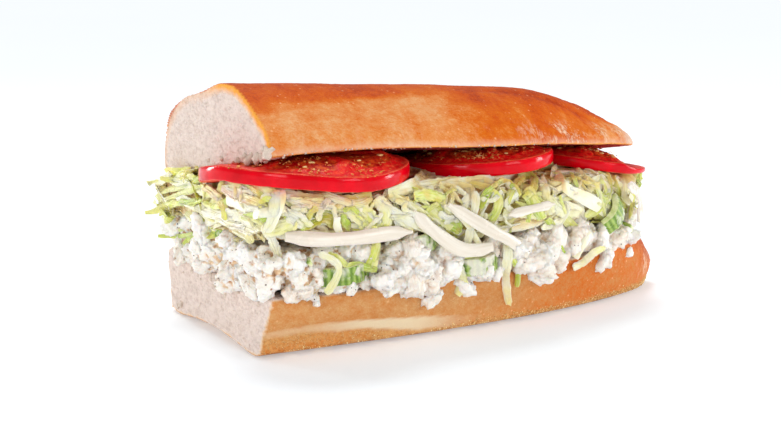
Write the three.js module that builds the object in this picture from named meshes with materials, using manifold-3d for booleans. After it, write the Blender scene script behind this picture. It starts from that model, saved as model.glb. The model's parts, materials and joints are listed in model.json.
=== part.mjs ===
// Half of a submarine sandwich, in millimetres, +Z up.
// The loaf lies along X: its cut end faces -X and its baked, rounded end is at +X. The open side,
// where the filling shows, faces -Y. The origin is the middle of the flat base.
import * as THREE from "three";
import { mergeVertices } from "three/addons/utils/BufferGeometryUtils.js";
import Module from "manifold-3d";

const wasm = await Module();
wasm.setup();

// Driving dimensions
const LOAF_LENGTH = 172;
const HEEL_HALF_WIDTH = 44.4;
const HEEL_HEIGHT = 21;
const CROWN_LENGTH = 164;
const CROWN_LIFT = 55.2; // middle of the crown's flat underside above the table, at the cut
const CROWN_ROLL = THREE.MathUtils.degToRad(-10.5); // the shown side is opened upwards
const CROWN_DROP = 0.026; // fall of the crown per millimetre towards the rounded end
const CROWN_BOW = 1.7; // rise of the crown's underside part of the way along
const TOMATO_THICKNESS = 5;
const GAP = 0.35; // left between pieces that rest on each other

const CUT_X = -LOAF_LENGTH / 2;
const AROUND = 32;
const ALONG = 22;
const HEAP_AROUND = 24;
const HEAP_ALONG = 18;

const { clamp, lerp, smoothstep } = THREE.MathUtils;

// Plan outline of the loaf: 1 at the cut end, 0 at the rounded tip, for a share s of the length.
function planTaper(s, straightness, bluntness) {
  return Math.pow(Math.max(0, 1 - Math.pow(s, straightness)), 1 / bluntness);
}

// Slow waves that make baked and heaped shapes uneven, between about -1 and 1.
function waves(x, y, z, length) {
  const k = (2 * Math.PI) / length;
  return (
    0.5 * Math.sin(k * (x + 0.3 * z) + 1.3) +
    0.3 * Math.sin(k * 1.7 * (y - 0.4 * x) + 0.4) +
    0.2 * Math.sin(k * 2.9 * (z + 0.5 * x - 0.3 * y))
  );
}

// Points spaced evenly round a closed smooth outline that passes through [y, z] pairs.
function ringOf(pairs, count) {
  const points = pairs.map(([y, z]) => new THREE.Vector3(0, y, z));
  const curve = new THREE.CatmullRomCurve3(points, true, "centripetal");
  return curve.getSpacedPoints(count).slice(0, count);
}

// A closed capped cylinder whose vertices place(turn, s, share) moves: turn and s are the place
// round and along it, from 0 to 1, and share is 1 on the wall and 0 at a cap's middle.
function loft(around, along, place) {
  const geometry = new THREE.CylinderGeometry(1, 1, 1, around, along);
  geometry.deleteAttribute("normal");
  geometry.deleteAttribute("uv");
  const position = geometry.getAttribute("position");
  const v = new THREE.Vector3();
  for (let i = 0; i < position.count; i++) {
    v.fromBufferAttribute(position, i);
    const share = Math.hypot(v.x, v.z) > 0.5 ? 1 : 0;
    const turn = share ? (Math.atan2(v.x, v.z) / (2 * Math.PI) + 1) % 1 : 0;
    position.setXYZ(i, ...place(turn, v.y + 0.5, share));
  }
  return mergeVertices(geometry, 1e-3);
}

// Stations along a loaf crowd towards its rounded end, where the outline curves most.
function station(s) {
  return Math.sin((s * Math.PI) / 2) ** 1.15;
}

// Lower half of the loaf: a flat base, flared sides and an uneven sliced top.
const HEEL_SECTION = [
  [0, -1.5], [-28, -1.5], [-37, 0.4], [-38.2, 4.5], [-38.4, 7.2], [-40.6, 11.5], [-43.6, 16],
  [-HEEL_HALF_WIDTH, 19], [-43.2, HEEL_HEIGHT], [-30, 20.2], [0, 19.4], [30, 20.6],
  [43, 22.3], [HEEL_HALF_WIDTH, 17.5], [41.4, 10.5], [38.4, 5], [37.4, 0.4], [28, -1.5],
];

function heelPlace(grow) {
  const ring = ringOf(HEEL_SECTION, AROUND);
  return (turn, s, share) => {
    const p = ring[Math.round((1 - turn) * AROUND) % AROUND];
    const y0 = share ? p.y : 0;
    const z0 = share ? p.z : 11;
    const k = station(s);
    // The belly of the tip reaches furthest, and the rim and the base end a little earlier.
    const reach = LOAF_LENGTH - 3 * (1 - smoothstep(z0, 0, 7)) - 6.5 * smoothstep(z0, 8, 21);
    const slant = -1.9 * (1 - clamp(z0 / HEEL_HEIGHT, 0, 1));
    const x = lerp(CUT_X + slant, CUT_X + reach, k);
    const width = Math.max(planTaper(k, 2.7, 1.65), 0.05);
    const bake = 0.6 * waves(x, y0, z0, 60) * clamp(z0 / 6, 0, 1);
    const arch = 2.6 * Math.exp(-(((x - CUT_X) / 20) ** 2)) * clamp(1 - (y0 / 31) ** 2, 0, 1);
    const z = Math.max(z0, 0) * lerp(1, 0.95, k) + bake * 0.5;
    const lift = z0 <= 0.3 ? arch : 0;
    const side = Math.sign(y0) * grow;
    const up = z0 > 12 ? grow : 0;
    return [x + grow * (k > 0.98 ? 1 : 0), y0 * width + side + bake * Math.sign(y0), z + up + lift];
  };
}

// Height of the middle of the crown's underside at x.
function crownLift(x) {
  const run = x - CUT_X;
  return CROWN_LIFT + CROWN_BOW * Math.sin(clamp(run / 125, 0, 1) * Math.PI) - CROWN_DROP * run;
}

// Height of the crown's underside at x, y.
function undersideHeight(x, y) {
  return crownLift(x) + Math.tan(CROWN_ROLL) * y;
}

// Upper half of the loaf, lying level: a flat sliced underside and a crust that is domed with a
// shoulder on the side away from the opening.
const CROWN_SECTION = [
  [0, 0], [-30, 0], [-45.3, 0.3], [-45.4, 4.9], [-42, 8.9], [-29.5, 18.1], [-22.8, 22.4],
  [-16.6, 24.6], [-9.3, 25.6], [-3.6, 25.3], [3.5, 23.8], [19.8, 23.9], [28, 22.4],
  [40.2, 15.2], [44.4, 10], [47.4, 0.8], [30, 0],
];

function crownPlace(grow) {
  const ring = ringOf(CROWN_SECTION, AROUND);
  return (turn, s, share) => {
    const k = station(s);
    const p = ring[Math.round((1 - turn) * AROUND) % AROUND];
    const y0 = share ? p.y : 0;
    const z0 = share ? p.z : 11;
    const width = Math.max(planTaper(k, 2.8, 1.65), 0.05);
    const height = Math.max(1 - 0.12 * k, 0) * Math.max(planTaper(k, 4.2, 1.5), 0.08);
    const top = smoothstep(z0, 1, 8);
    const x = lerp(CUT_X, CUT_X + CROWN_LENGTH, k) + (k > 0.98 ? grow : 0);
    const y = (y0 + grow * Math.sign(y0)) * width + 0.5 * waves(x, y0, z0, 60) * Math.sign(y0);
    const bow = crownLift(x) - CROWN_LIFT + CROWN_DROP * (x - CUT_X);
    const z = z0 * height + (0.8 * waves(x, y0, z0, 75) - bow) * top + grow * (2 * top - 1);
    const point = new THREE.Vector3(x, y, z).applyAxisAngle(new THREE.Vector3(1, 0, 0), CROWN_ROLL);
    point.z += crownLift(x);
    return point.toArray();
  };
}

// An uneven heap that fills the loaf's plan between the heights low(x, y) and high(x, y).
function heapPlace({ start, end, halfWidth, low, high, bumps, bumpLength, grow }) {
  return (turn, s, share) => {
    const k = station(s);
    const angle = turn * 2 * Math.PI;
    const square = (c) => Math.sign(c) * Math.abs(c) ** 0.42;
    const shrink = share * (s === 0 ? 0.92 : 1);
    const across = shrink * square(Math.cos(angle));
    const upward = shrink * square(Math.sin(angle));
    const straight = lerp(start, end, k);
    const bump = bumps * waves(straight, 40 * across, 30 * upward, bumpLength);
    const y = across * (halfWidth * Math.max(planTaper(k, 3, 1.7), 0.12) + bump + grow);
    const x = lerp(start - grow, end + grow, k) + 0.4 * bump * share;
    const bottom = low(x, y) - grow;
    const top = high(x, y) + grow;
    return [x, y, lerp(bottom, top, (upward + 1) / 2) + 0.5 * bump * share * (top > bottom + 4 ? 1 : 0)];
  };
}

const SALAD = {
  start: CUT_X - 0.8,
  end: CUT_X + 161.5,
  halfWidth: 46.6,
  low: (x) => 16.4 + 4 * Math.exp(-(((x - CUT_X) / 9) ** 2)),
  high: (x) => 37.2 - 0.055 * (x - CUT_X),
  bumps: 1.8,
  bumpLength: 37,
};
const LETTUCE = {
  start: CUT_X - 4,
  end: CUT_X + 160.5,
  halfWidth: 47.6,
  low: (x) => 34 - 0.05 * (x - CUT_X),
  high: (x, y) => Math.min(56.3 - 0.068 * (x - CUT_X), undersideHeight(x, y) - GAP),
  bumps: 1.9,
  bumpLength: 43,
};

// A tomato slice: a disc with a full, rounded skin edge, laid flat with its centre at the origin.
function tomatoSlice(radius, thickness, grow) {
  const r = radius + grow;
  const top = thickness + grow;
  const profile = [
    [0, -grow], [r - 1.6, -grow], [r - 0.5, 0.7], [r, 2.1], [r - 0.1, Math.min(3.4, top - 0.9)],
    [r - 0.9, top], [0, top],
  ].map(([x, y]) => new THREE.Vector2(x, y));
  const geometry = new THREE.LatheGeometry(profile, 32);
  geometry.deleteAttribute("normal");
  geometry.deleteAttribute("uv");
  return mergeVertices(geometry.rotateX(Math.PI / 2), 1e-3);
}

// Tomato slices along the loaf: centre of the underside from the cut, radius, the two tilts in
// degrees and how far the front hangs down.
const TOMATOES = [
  { at: [20.8, -22.5, 54.3], radius: 33.4, thickness: TOMATO_THICKNESS, tilt: [0.7, 2.1], droop: 1.7 },
  { at: [90.2, -12.5, 50.2], radius: 26, thickness: TOMATO_THICKNESS, tilt: [-2.2, -3.6], droop: 0.4 },
  { at: [139.8, -1.2, 45.9], radius: 23.2, thickness: 4, tilt: [0.5, 8.2], droop: 0.3 },
];

// A slice put in its place. Behind the line where it meets the crown it is pressed down to follow
// the crown's underside. A tool for cutting the lettuce reaches up by the height above.
function placedTomato({ at, radius, thickness, tilt, droop }, grow, above = 0) {
  const geometry = tomatoSlice(radius, thickness + above, grow);
  const position = geometry.getAttribute("position");
  for (let i = 0; i < position.count; i++) {
    const x = position.getX(i);
    const y = position.getY(i);
    const front = clamp(-y / radius, 0, 1) ** 3;
    const sag = droop * front * Math.exp(-(((x - 0.25 * radius) / (0.6 * radius)) ** 2));
    position.setZ(i, position.getZ(i) - sag);
  }
  const [rx, ry] = tilt.map(THREE.MathUtils.degToRad);
  geometry.rotateX(rx).rotateY(ry).translate(CUT_X + at[0], at[1], at[2]);
  for (let i = 0; i < position.count; i++) {
    const x = position.getX(i);
    const y = position.getY(i);
    const free = at[2] + Math.tan(rx) * (y - at[1]) - Math.tan(ry) * (x - CUT_X - at[0]);
    const room = undersideHeight(x, y) - 1.6 * GAP - thickness;
    position.setZ(i, position.getZ(i) - Math.max(0, free - room));
  }
  return geometry;
}

// Curved strips of sliced onion along the shown side: width and route, from the cut.
const ONION_THICKNESS = 1.8;
const ONIONS = [
  { width: 4.4, route: [[2, -49, 40.5], [13, -50.4, 38.8], [25, -50.5, 38.2], [37, -50, 38.4], [45, -49, 38]] },
  { width: 4.6, route: [[45, -49.4, 44.5], [53, -49.3, 37.2], [62, -48.8, 31.2], [69, -48.2, 29.8], [75, -47.4, 30.2]] },
  { width: 4.2, route: [[58, -48.8, 45.5], [66, -48.6, 40.5], [75, -47.9, 35.2], [83, -46.6, 31], [90, -45, 25.8]] },
  { width: 4, route: [[82, -47.2, 41], [90, -45.6, 40.6], [100, -43.4, 40.2]] },
  { width: 4, route: [[137, -34.6, 43.4], [145, -28.8, 39.8], [151, -22.8, 33.6], [149.6, -23.8, 27.8]] },
];

function onionStrip({ width, route }, grow) {
  const curve = new THREE.CatmullRomCurve3(route.map(([x, y, z]) => new THREE.Vector3(CUT_X + x, y, z)));
  const outward = new THREE.Vector3();
  const upward = new THREE.Vector3();
  return loft(8, 9, (turn, s, share) => {
    const point = curve.getPoint(s);
    const tangent = curve.getTangent(s);
    outward.set(tangent.y, -tangent.x, 0).normalize();
    if (tangent.x < 0) outward.negate();
    upward.crossVectors(outward, tangent).normalize();
    const angle = turn * 2 * Math.PI;
    point.addScaledVector(outward, share * Math.cos(angle) * (ONION_THICKNESS / 2 + grow));
    point.addScaledVector(upward, -share * Math.sin(angle) * (width / 2 + grow));
    point.addScaledVector(tangent, grow * (2 * s - 1));
    return point.toArray();
  });
}

// Slices of celery stalk: a crescent whose rounded side faces outwards. Centre from the cut, the
// three turns in degrees, width and thickness.
const CELERY = [
  { at: [23, -44.6, 26.2], turn: [0, 3, 181], size: 19, thick: 5.6 },
  { at: [51, -45.6, 33.6], turn: [0, 12, 188], size: 9.5, thick: 6 },
  { at: [73, -43.2, 24.0], turn: [0, 5, 186], size: 15, thick: 5.6 },
  { at: [133.6, -30.4, 33.2], turn: [0, 48, 208], size: 13.5, thick: 6.4 },
  { at: [0.6, -7.5, 35.2], turn: [0, -4, 92], size: 15, thick: 4.2 },
];

function celerySlice({ at, turn, size, thick }, grow) {
  const half = size / 2;
  const tip = half + 2 * grow;
  const inner = 0.76 * half + 0.4 * grow;
  const back = -0.24 * half - grow;
  const crescent = new THREE.Shape();
  crescent.moveTo(-tip, 0);
  crescent.quadraticCurveTo(0, 0.95 * half + 1.5 * grow, tip, 0);
  crescent.lineTo(inner, back);
  crescent.quadraticCurveTo(0, 0.4 * half - 1.5 * grow, -inner, back);
  crescent.closePath();
  const geometry = new THREE.ExtrudeGeometry(crescent, {
    depth: thick + 2 * grow,
    curveSegments: 8,
    bevelEnabled: false,
  });
  geometry.translate(0, 0, -thick / 2 - grow);
  const [rx, ry, rz] = turn.map(THREE.MathUtils.degToRad);
  geometry.rotateX(rx).rotateY(ry).rotateZ(rz);
  return geometry.translate(CUT_X + at[0], at[1], at[2]);
}

// Boolean cuts: a geometry as a solid, and a solid back as a geometry.
function solidOf(geometry) {
  const bare = geometry.clone();
  for (const name of Object.keys(bare.attributes)) if (name !== "position") bare.deleteAttribute(name);
  const merged = mergeVertices(bare, 1e-3);
  return new wasm.Manifold(
    new wasm.Mesh({
      numProp: 3,
      vertProperties: merged.getAttribute("position").array,
      triVerts: new Uint32Array(merged.index.array),
    }),
  );
}

function geometryOf(solid) {
  const mesh = solid.getMesh();
  const geometry = new THREE.BufferGeometry();
  geometry.setAttribute("position", new THREE.BufferAttribute(mesh.vertProperties, 3));
  geometry.setIndex(new THREE.BufferAttribute(mesh.triVerts, 1));
  return geometry;
}

// The largest body of a cut heap, without slivers that a neighbour has cut off.
function mainBody(solid) {
  const bodies = solid.decompose();
  return bodies.reduce((best, body) => (body.volume() > best.volume() ? body : best));
}

const heel = (grow) => loft(AROUND, ALONG, heelPlace(grow));
const crown = (grow) => loft(AROUND, ALONG, crownPlace(grow));
const heap = (look, grow) => loft(HEAP_AROUND, HEAP_ALONG, heapPlace({ ...look, grow }));

// The heap with room left for each of its neighbours.
function cutHeap(look, neighbours) {
  const cut = neighbours.reduce((rest, tool) => rest.subtract(solidOf(tool)), solidOf(heap(look, 0)));
  return geometryOf(mainBody(cut));
}

const strips = ONIONS.map((strip) => onionStrip(strip, GAP));
const stalks = CELERY.map((slice) => celerySlice(slice, GAP));
const discs = TOMATOES.map((slice) => placedTomato(slice, GAP, 30));
const salad = cutHeap(SALAD, [heel(GAP), ...strips, ...stalks]);
const lettuce = cutHeap(LETTUCE, [heap(SALAD, GAP), crown(GAP), heel(GAP), ...discs, ...strips, ...stalks]);

const LOOKS = {
  heel: { color: 0xd49a5c, roughness: 0.55 },
  crown: { color: 0xc4702f, roughness: 0.4 },
  salad: { color: 0xe9dfd4, roughness: 0.5 },
  lettuce: { color: 0xdfe0a4, roughness: 0.45 },
  tomato: { color: 0xc8141f, roughness: 0.2 },
  onion: { color: 0xf1eee0, roughness: 0.3 },
  celery: { color: 0x9dbb5c, roughness: 0.4 },
};

const sandwich = new THREE.Group();

function addPiece(name, geometry, look) {
  const material = new THREE.MeshStandardMaterial({ ...LOOKS[look], metalness: 0 });
  const mesh = new THREE.Mesh(geometry, material);
  mesh.name = name;
  sandwich.add(mesh);
}

addPiece("bread_heel", heel(0), "heel");
addPiece("bread_crown", crown(0), "crown");
addPiece("chicken_salad", salad, "salad");
addPiece("shredded_lettuce", lettuce, "lettuce");
TOMATOES.forEach((slice, i) => addPiece(`tomato_slice_${i + 1}`, placedTomato(slice, 0), "tomato"));
ONIONS.forEach((strip, i) => addPiece(`onion_strip_${i + 1}`, onionStrip(strip, 0), "onion"));
CELERY.forEach((slice, i) => addPiece(`celery_slice_${i + 1}`, celerySlice(slice, 0), "celery"));

export default sandwich;
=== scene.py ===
# %% [markdown]
# # Half a submarine sandwich
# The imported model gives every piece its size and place: two halves of a split roll, a heap of
# chicken salad, a heap of shredded lettuce, three tomato slices, and a few strips of onion and
# slices of celery. This lesson keeps those places and gives each piece the look of food.
# Lengths are written in millimetres and multiplied by MM, because Blender works in metres.

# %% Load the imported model
import json
import math

import bmesh
import bpy
import numpy as np
from mathutils import Matrix, Vector, noise
from mathutils.bvhtree import BVHTree
from mathutils.kdtree import KDTree

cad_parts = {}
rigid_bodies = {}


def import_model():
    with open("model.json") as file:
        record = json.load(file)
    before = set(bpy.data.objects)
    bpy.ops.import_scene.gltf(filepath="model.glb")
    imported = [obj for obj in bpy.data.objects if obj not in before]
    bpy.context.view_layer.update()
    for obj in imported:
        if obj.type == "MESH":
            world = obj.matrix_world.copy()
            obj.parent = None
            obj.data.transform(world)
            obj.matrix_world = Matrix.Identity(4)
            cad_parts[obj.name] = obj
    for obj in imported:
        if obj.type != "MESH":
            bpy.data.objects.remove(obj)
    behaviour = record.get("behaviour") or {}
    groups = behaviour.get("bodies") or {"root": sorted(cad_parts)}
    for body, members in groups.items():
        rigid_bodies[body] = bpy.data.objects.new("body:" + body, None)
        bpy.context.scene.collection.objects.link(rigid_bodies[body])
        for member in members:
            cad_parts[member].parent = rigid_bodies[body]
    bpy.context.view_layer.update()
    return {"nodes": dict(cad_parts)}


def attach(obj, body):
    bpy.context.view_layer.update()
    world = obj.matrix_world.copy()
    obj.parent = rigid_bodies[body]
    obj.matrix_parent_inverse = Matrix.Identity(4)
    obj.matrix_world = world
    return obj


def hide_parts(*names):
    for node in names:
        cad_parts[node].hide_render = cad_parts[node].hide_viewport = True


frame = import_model()
nodes = frame["nodes"]
MM = 0.001
CUT_X = -86 * MM
scene = bpy.context.scene
dice = np.random.default_rng(12)

# %% [markdown]
# ## Camera and light
# The camera stands low and a little to the left, so that the cut end and the long open side both
# show. Food on a white sweep is lit softly from all round: a bright world fills the shadows, a
# wide soft light behind and above draws the shape of the crust and puts the shadow in front. Two
# soft boxes in front and a narrow strip at each end put the white reflections on wet skin. The
# floor glows a little, as a lit sweep does, so that only the shadow shows on it.

# %% Camera
LENS_IN_PIXELS = 1700
IMAGE_WIDTH, IMAGE_HEIGHT = 781, 440
VIEW_AZIMUTH = math.radians(-28.06)
VIEW_ELEVATION = math.radians(10.49)
CAMERA_PLACE = -289.2, -500.4, 137.1
SENSOR_WIDTH = 36


def add_object(name, data):
    made = bpy.data.objects.new(name, data)
    scene.collection.objects.link(made)
    return made


camera_data = bpy.data.cameras.new("camera")
camera_data.sensor_width = SENSOR_WIDTH
camera_data.lens = SENSOR_WIDTH * LENS_IN_PIXELS / IMAGE_WIDTH
camera = add_object("camera", camera_data)
camera.location = Vector(CAMERA_PLACE) * MM
back = Vector((
    math.sin(VIEW_AZIMUTH) * math.cos(VIEW_ELEVATION),
    -math.cos(VIEW_AZIMUTH) * math.cos(VIEW_ELEVATION),
    math.sin(VIEW_ELEVATION),
))
camera.rotation_euler = back.to_track_quat("Z", "Y").to_euler()
scene.camera = camera
print("camera lens in mm:", round(camera_data.lens, 1))

# %% World and lamps
WORLD_STRENGTH = 0.38
SUN_STRENGTH = 1.58
SUN_SPREAD = math.radians(27)
SUN_FROM = 0.12, 0.52, 1
SOFT_BOXES = [  # name, place and aim in metres, width, height, watts
    ("front_left_box", (-0.74, -0.50, 0.28), (-0.06, 0, 0.05), 0.34, 0.34, 2.4),
    ("front_right_box", (0.42, -0.90, 0.32), (0.02, 0, 0.05), 0.40, 0.34, 2.65),
    ("left_edge_strip", (-0.46, 0.62, 0.13), (-0.08, 0, 0.06), 0.14, 0.24, 2.0),
    ("right_edge_strip", (0.78, -0.22, 0.14), (0.02, 0, 0.06), 0.16, 0.26, 2.2),
]
scene.view_settings.view_transform = "Standard"
scene.view_settings.look = "None"
world = bpy.data.worlds.new("studio")
scene.world = world
world.use_nodes = True
background = world.node_tree.nodes["Background"]
background.inputs["Color"].default_value = (1, 1, 1, 1)
background.inputs["Strength"].default_value = WORLD_STRENGTH


def add_lamp(name, place, aim, width, height, watts):
    """A soft box: a rectangle of light at place that faces aim, both in metres."""
    data = bpy.data.lights.new(name, "AREA")
    data.shape = "RECTANGLE"
    data.size = width
    data.size_y = height
    data.energy = watts
    lamp = add_object(name, data)
    lamp.location = place
    lamp.rotation_euler = (Vector(place) - Vector(aim)).to_track_quat("Z", "Y").to_euler()


sky = add_object("wide_soft_light", bpy.data.lights.new("wide_soft_light", "SUN"))
sky.data.energy = SUN_STRENGTH
sky.data.angle = SUN_SPREAD
sky.rotation_euler = Vector(SUN_FROM).to_track_quat("Z", "Y").to_euler()
for box in SOFT_BOXES:
    add_lamp(*box)
print("lamps:", 1 + len(SOFT_BOXES))

# %% [markdown]
# ## Ways to write a finish
# A finish is a Principled shader with patterns in front of its colour, roughness and bump. The
# small class below only saves typing: it adds a node, sets or links its inputs, and hands back the
# output. Patterns read Object coordinates, which are metres on the sandwich itself, so a pattern
# size in millimetres is the real size of a pore or a blister. Values that are the same all over
# are set straight on the shader.

# %% The finish class


def rgb(red, green, blue):
    """A screen colour from 0 to 255 as the linear colour that a shader needs."""
    parts = []
    for value in (red, green, blue):
        share = value / 255
        parts.append(share / 12.92 if share < 0.04045 else ((share + 0.055) / 1.055) ** 2.4)
    return (*parts, 1.0)


class Finish:
    """One material: its shader, and short ways to add the nodes of its patterns."""

    def __init__(self, name, glow=None, **constants):
        self.material = bpy.data.materials.new(name)
        self.material.use_nodes = True
        self.tree = self.material.node_tree
        self.shader = self.tree.nodes["Principled BSDF"]
        for key, value in constants.items():
            self.shader.inputs[key.replace("_", " ")].default_value = value
        if glow:
            self.shader.inputs["Subsurface Radius"].default_value = glow
            self.shader.inputs["Subsurface Scale"].default_value = 1 * MM
        self.coords = self.node("ShaderNodeTexCoord").outputs["Object"]

    def node(self, kind, inputs=None, **settings):
        made = self.tree.nodes.new(kind)
        for key, value in settings.items():
            setattr(made, key, value)
        for key, value in (inputs or {}).items():
            self.put(value, made.inputs[key])
        return made

    def put(self, value, socket):
        if isinstance(value, bpy.types.NodeSocket):
            self.tree.links.new(value, socket)
        else:
            socket.default_value = value

    def turned(self, stretch, turn=(0, 0, 0)):
        """Coordinates turned by degrees, then drawn out, for a grain with a direction."""
        if stretch == (1, 1, 1):
            return self.coords
        inputs = {"Vector": self.coords, "Scale": stretch}
        inputs["Rotation"] = [math.radians(angle) for angle in turn]
        return self.node("ShaderNodeMapping", inputs, vector_type="TEXTURE").outputs[0]

    def noise(self, size, detail=3.0, rough=0.55, twist=0.0, stretch=(1, 1, 1), turn=(0, 0, 0)):
        """Cloudy noise with patches about size millimetres across."""
        inputs = {"Vector": self.turned(stretch, turn), "Scale": 1 / (size * MM)}
        inputs.update({"Detail": detail, "Roughness": rough, "Distortion": twist})
        return self.node("ShaderNodeTexNoise", inputs).outputs[0]

    def cells(self, size, stretch=(1, 1, 1)):
        """Distance from the middle of cells about size millimetres across."""
        inputs = {"Vector": self.turned(stretch), "Scale": 1 / (size * MM)}
        return self.node("ShaderNodeTexVoronoi", inputs).outputs["Distance"]

    def value(self, name):
        return self.node("ShaderNodeAttribute", attribute_name=name).outputs["Fac"]

    def remap(self, socket, low, high, to_low=0.0, to_high=1.0):
        inputs = {"Value": socket, "From Min": low, "From Max": high}
        inputs.update({"To Min": to_low, "To Max": to_high})
        return self.node("ShaderNodeMapRange", inputs).outputs[0]

    def patches(self, size, detail, low, high, to_low=0.0, to_high=1.0):
        """Cloudy noise drawn out, so that low becomes to_low and high becomes to_high."""
        return self.remap(self.noise(size, detail), low, high, to_low, to_high)

    def dots(self, size, low, high):
        """1 in round dots, one in each cell of size millimetres, and 0 between them."""
        return self.remap(self.cells(size), low, high, 1.0, 0.0)

    def math(self, operation, first, second=0.0):
        return self.node("ShaderNodeMath", {0: first, 1: second}, operation=operation).outputs[0]

    def add(self, *parts):
        """The sum of several values."""
        total = parts[0]
        for part in parts[1:]:
            total = self.math("ADD", total, part)
        return total

    def times(self, *parts):
        """The product of several values."""
        total = parts[0]
        for part in parts[1:]:
            total = self.math("MULTIPLY", total, part)
        return total

    def mix(self, share, first, second):
        """second over first, as strongly as share says."""
        made = self.node("ShaderNodeMix", data_type="RGBA")
        self.put(share, made.inputs[0])
        self.put(first, made.inputs[6])
        self.put(second, made.inputs[7])
        return made.outputs[2]

    def mix_normals(self, share, first, second):
        made = self.node("ShaderNodeMix", data_type="VECTOR")
        self.put(share, made.inputs[0])
        self.put(first, made.inputs[4])
        self.put(second, made.inputs[5])
        return made.outputs[1]

    def ramp(self, socket, stops):
        """Colours along a value: stops are (place, red, green, blue) from low to high."""
        made = self.node("ShaderNodeValToRGB", {"Fac": socket})
        points = made.color_ramp.elements
        while len(points) < len(stops):
            points.new(0.5)
        for point, (where, *screen_colour) in zip(points, stops):
            point.position = where
            point.color = rgb(*screen_colour)
        return made.outputs["Color"]

    def bump(self, height, depth, strength):
        """Bump whose full height is depth millimetres."""
        inputs = {"Height": height, "Distance": depth * MM, "Strength": strength}
        return self.node("ShaderNodeBump", inputs).outputs[0]

    def set(self, **sockets):
        for key, value in sockets.items():
            self.put(value, self.shader.inputs[key.replace("_", " ")])
        return self.material


# %% Floor
FLOOR_SIZE = 12.0
FLOOR_GLOW = 0.33


def mesh_from(bm, name):
    """A new mesh with what the bmesh holds, which is freed."""
    mesh = bpy.data.meshes.new(name)
    bm.to_mesh(mesh)
    bm.free()
    return mesh


floor_bm = bmesh.new()
bmesh.ops.create_grid(floor_bm, x_segments=1, y_segments=1, size=FLOOR_SIZE / 2)
floor = add_object("floor", mesh_from(floor_bm, "floor"))
sweep = Finish("white_sweep", Roughness=0.7, Specular_IOR_Level=0.0, Emission_Strength=FLOOR_GLOW)
sweep.shader.inputs["Emission Color"].default_value = rgb(254, 254, 255)
sweep_tint = sweep.mix(sweep.noise(400), rgb(222, 228, 233), rgb(225, 231, 236))
floor.data.materials.append(sweep.set(Base_Color=sweep_tint))
print("floor:", FLOOR_SIZE, "m square")

# %% [markdown]
# ## Meshes to start from
# Bread and salad have soft, uneven surfaces that no single operator makes. A good start is a copy
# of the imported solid: its loose triangles are merged, rounded by a Subdivision Surface that keeps
# the knife-cut edges creased, and remeshed into small even squares that can be pushed about.
# Values that a finish needs later, such as how far a point is from the crust, are kept on the
# vertices as attributes.

# %% Copy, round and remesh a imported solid
SHARP_EDGE = math.radians(48)


def evaluated(mesh, *modifiers):
    """The mesh after modifiers, given as (type, settings); the old mesh is thrown away."""
    holder = add_object("holder", mesh)
    for kind, settings in modifiers:
        modifier = holder.modifiers.new(kind.lower(), kind)
        for key, value in settings.items():
            setattr(modifier, key, value)
    depsgraph = bpy.context.evaluated_depsgraph_get()
    made = bpy.data.meshes.new_from_object(holder.evaluated_get(depsgraph))
    bpy.data.objects.remove(holder)
    bpy.data.meshes.remove(mesh)
    return made


def squares(voxel):
    """The modifier that makes even squares of voxel millimetres."""
    return "REMESH", {"mode": "VOXEL", "voxel_size": voxel * MM}


def rounded_copy(node, voxel, levels=2):
    """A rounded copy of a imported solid, as squares of voxel millimetres."""
    bm = bmesh.new()
    bm.from_mesh(nodes[node].data)
    bmesh.ops.remove_doubles(bm, verts=bm.verts, dist=0.01 * MM)
    crease = bm.edges.layers.float.new("crease_edge")
    for edge in bm.edges:
        if len(edge.link_faces) == 2 and edge.calc_face_angle(0) > SHARP_EDGE:
            edge[crease] = 1.0
    mesh = mesh_from(bm, "start")
    smooth = "SUBSURF", {"levels": levels, "render_levels": levels}
    return evaluated(mesh, smooth, squares(voxel))


# %% Read, move and mark vertices
def points_of(mesh, key="co"):
    """The vertices of a mesh as rows of x, y and z, or their normals with the key "normal"."""
    out = np.zeros(len(mesh.vertices) * 3)
    mesh.vertices.foreach_get(key, out)
    return out.reshape(-1, 3)


def points_and_normals(mesh):
    return points_of(mesh), points_of(mesh, "normal")


def move_points(mesh, points):
    mesh.vertices.foreach_set("co", np.asarray(points).ravel())
    mesh.update()


def pushed(points, normals, amount):
    """The points moved along their normals by amount millimetres."""
    return points + normals * (amount * MM)[:, None]


def keep_values(mesh, **layers):
    """Keeps values on the vertices as attributes of these names, for the finishes."""
    for name, values in layers.items():
        layer = mesh.attributes.get(name) or mesh.attributes.new(name, "FLOAT", "POINT")
        layer.data.foreach_set("value", np.asarray(values, np.float32).ravel())


def kept_value(mesh, name):
    out = np.zeros(len(mesh.vertices))
    mesh.attributes[name].data.foreach_get("value", out)
    return out


def step(values, low, high):
    """0 at low, 1 at high, and a smooth change between."""
    share = np.clip((values - low) / (high - low), 0, 1)
    return share * share * (3 - 2 * share)


def hump(values, middle, width):
    """1 where the values are middle, fading out over width on both sides."""
    return np.exp(-((values - middle) / width) ** 2)


def clouds(points, size, octaves=3, shift=0.0, stretch=(1, 1, 1)):
    """Noise between about -1 and 1 at each point, with patches of size millimetres."""
    scaled = points / (size * MM * np.array(stretch)) + shift
    return np.array([noise.fractal(p, 0.9, 2.0, octaves) for p in scaled.tolist()])


def pits(points, size, shift=0.0):
    """1 at the middle of round cells of size millimetres and 0 between them."""
    scaled = points / (size * MM) + shift
    nearest = np.array([noise.voronoi(p)[0][0] for p in scaled.tolist()])
    return np.clip(1 - nearest / 0.45, 0, 1)


def tree_of(points):
    """The points in a tree that finds the nearest one quickly."""
    tree = KDTree(len(points))
    for index, point in enumerate(points):
        tree.insert(point, index)
    tree.balance()
    return tree


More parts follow.
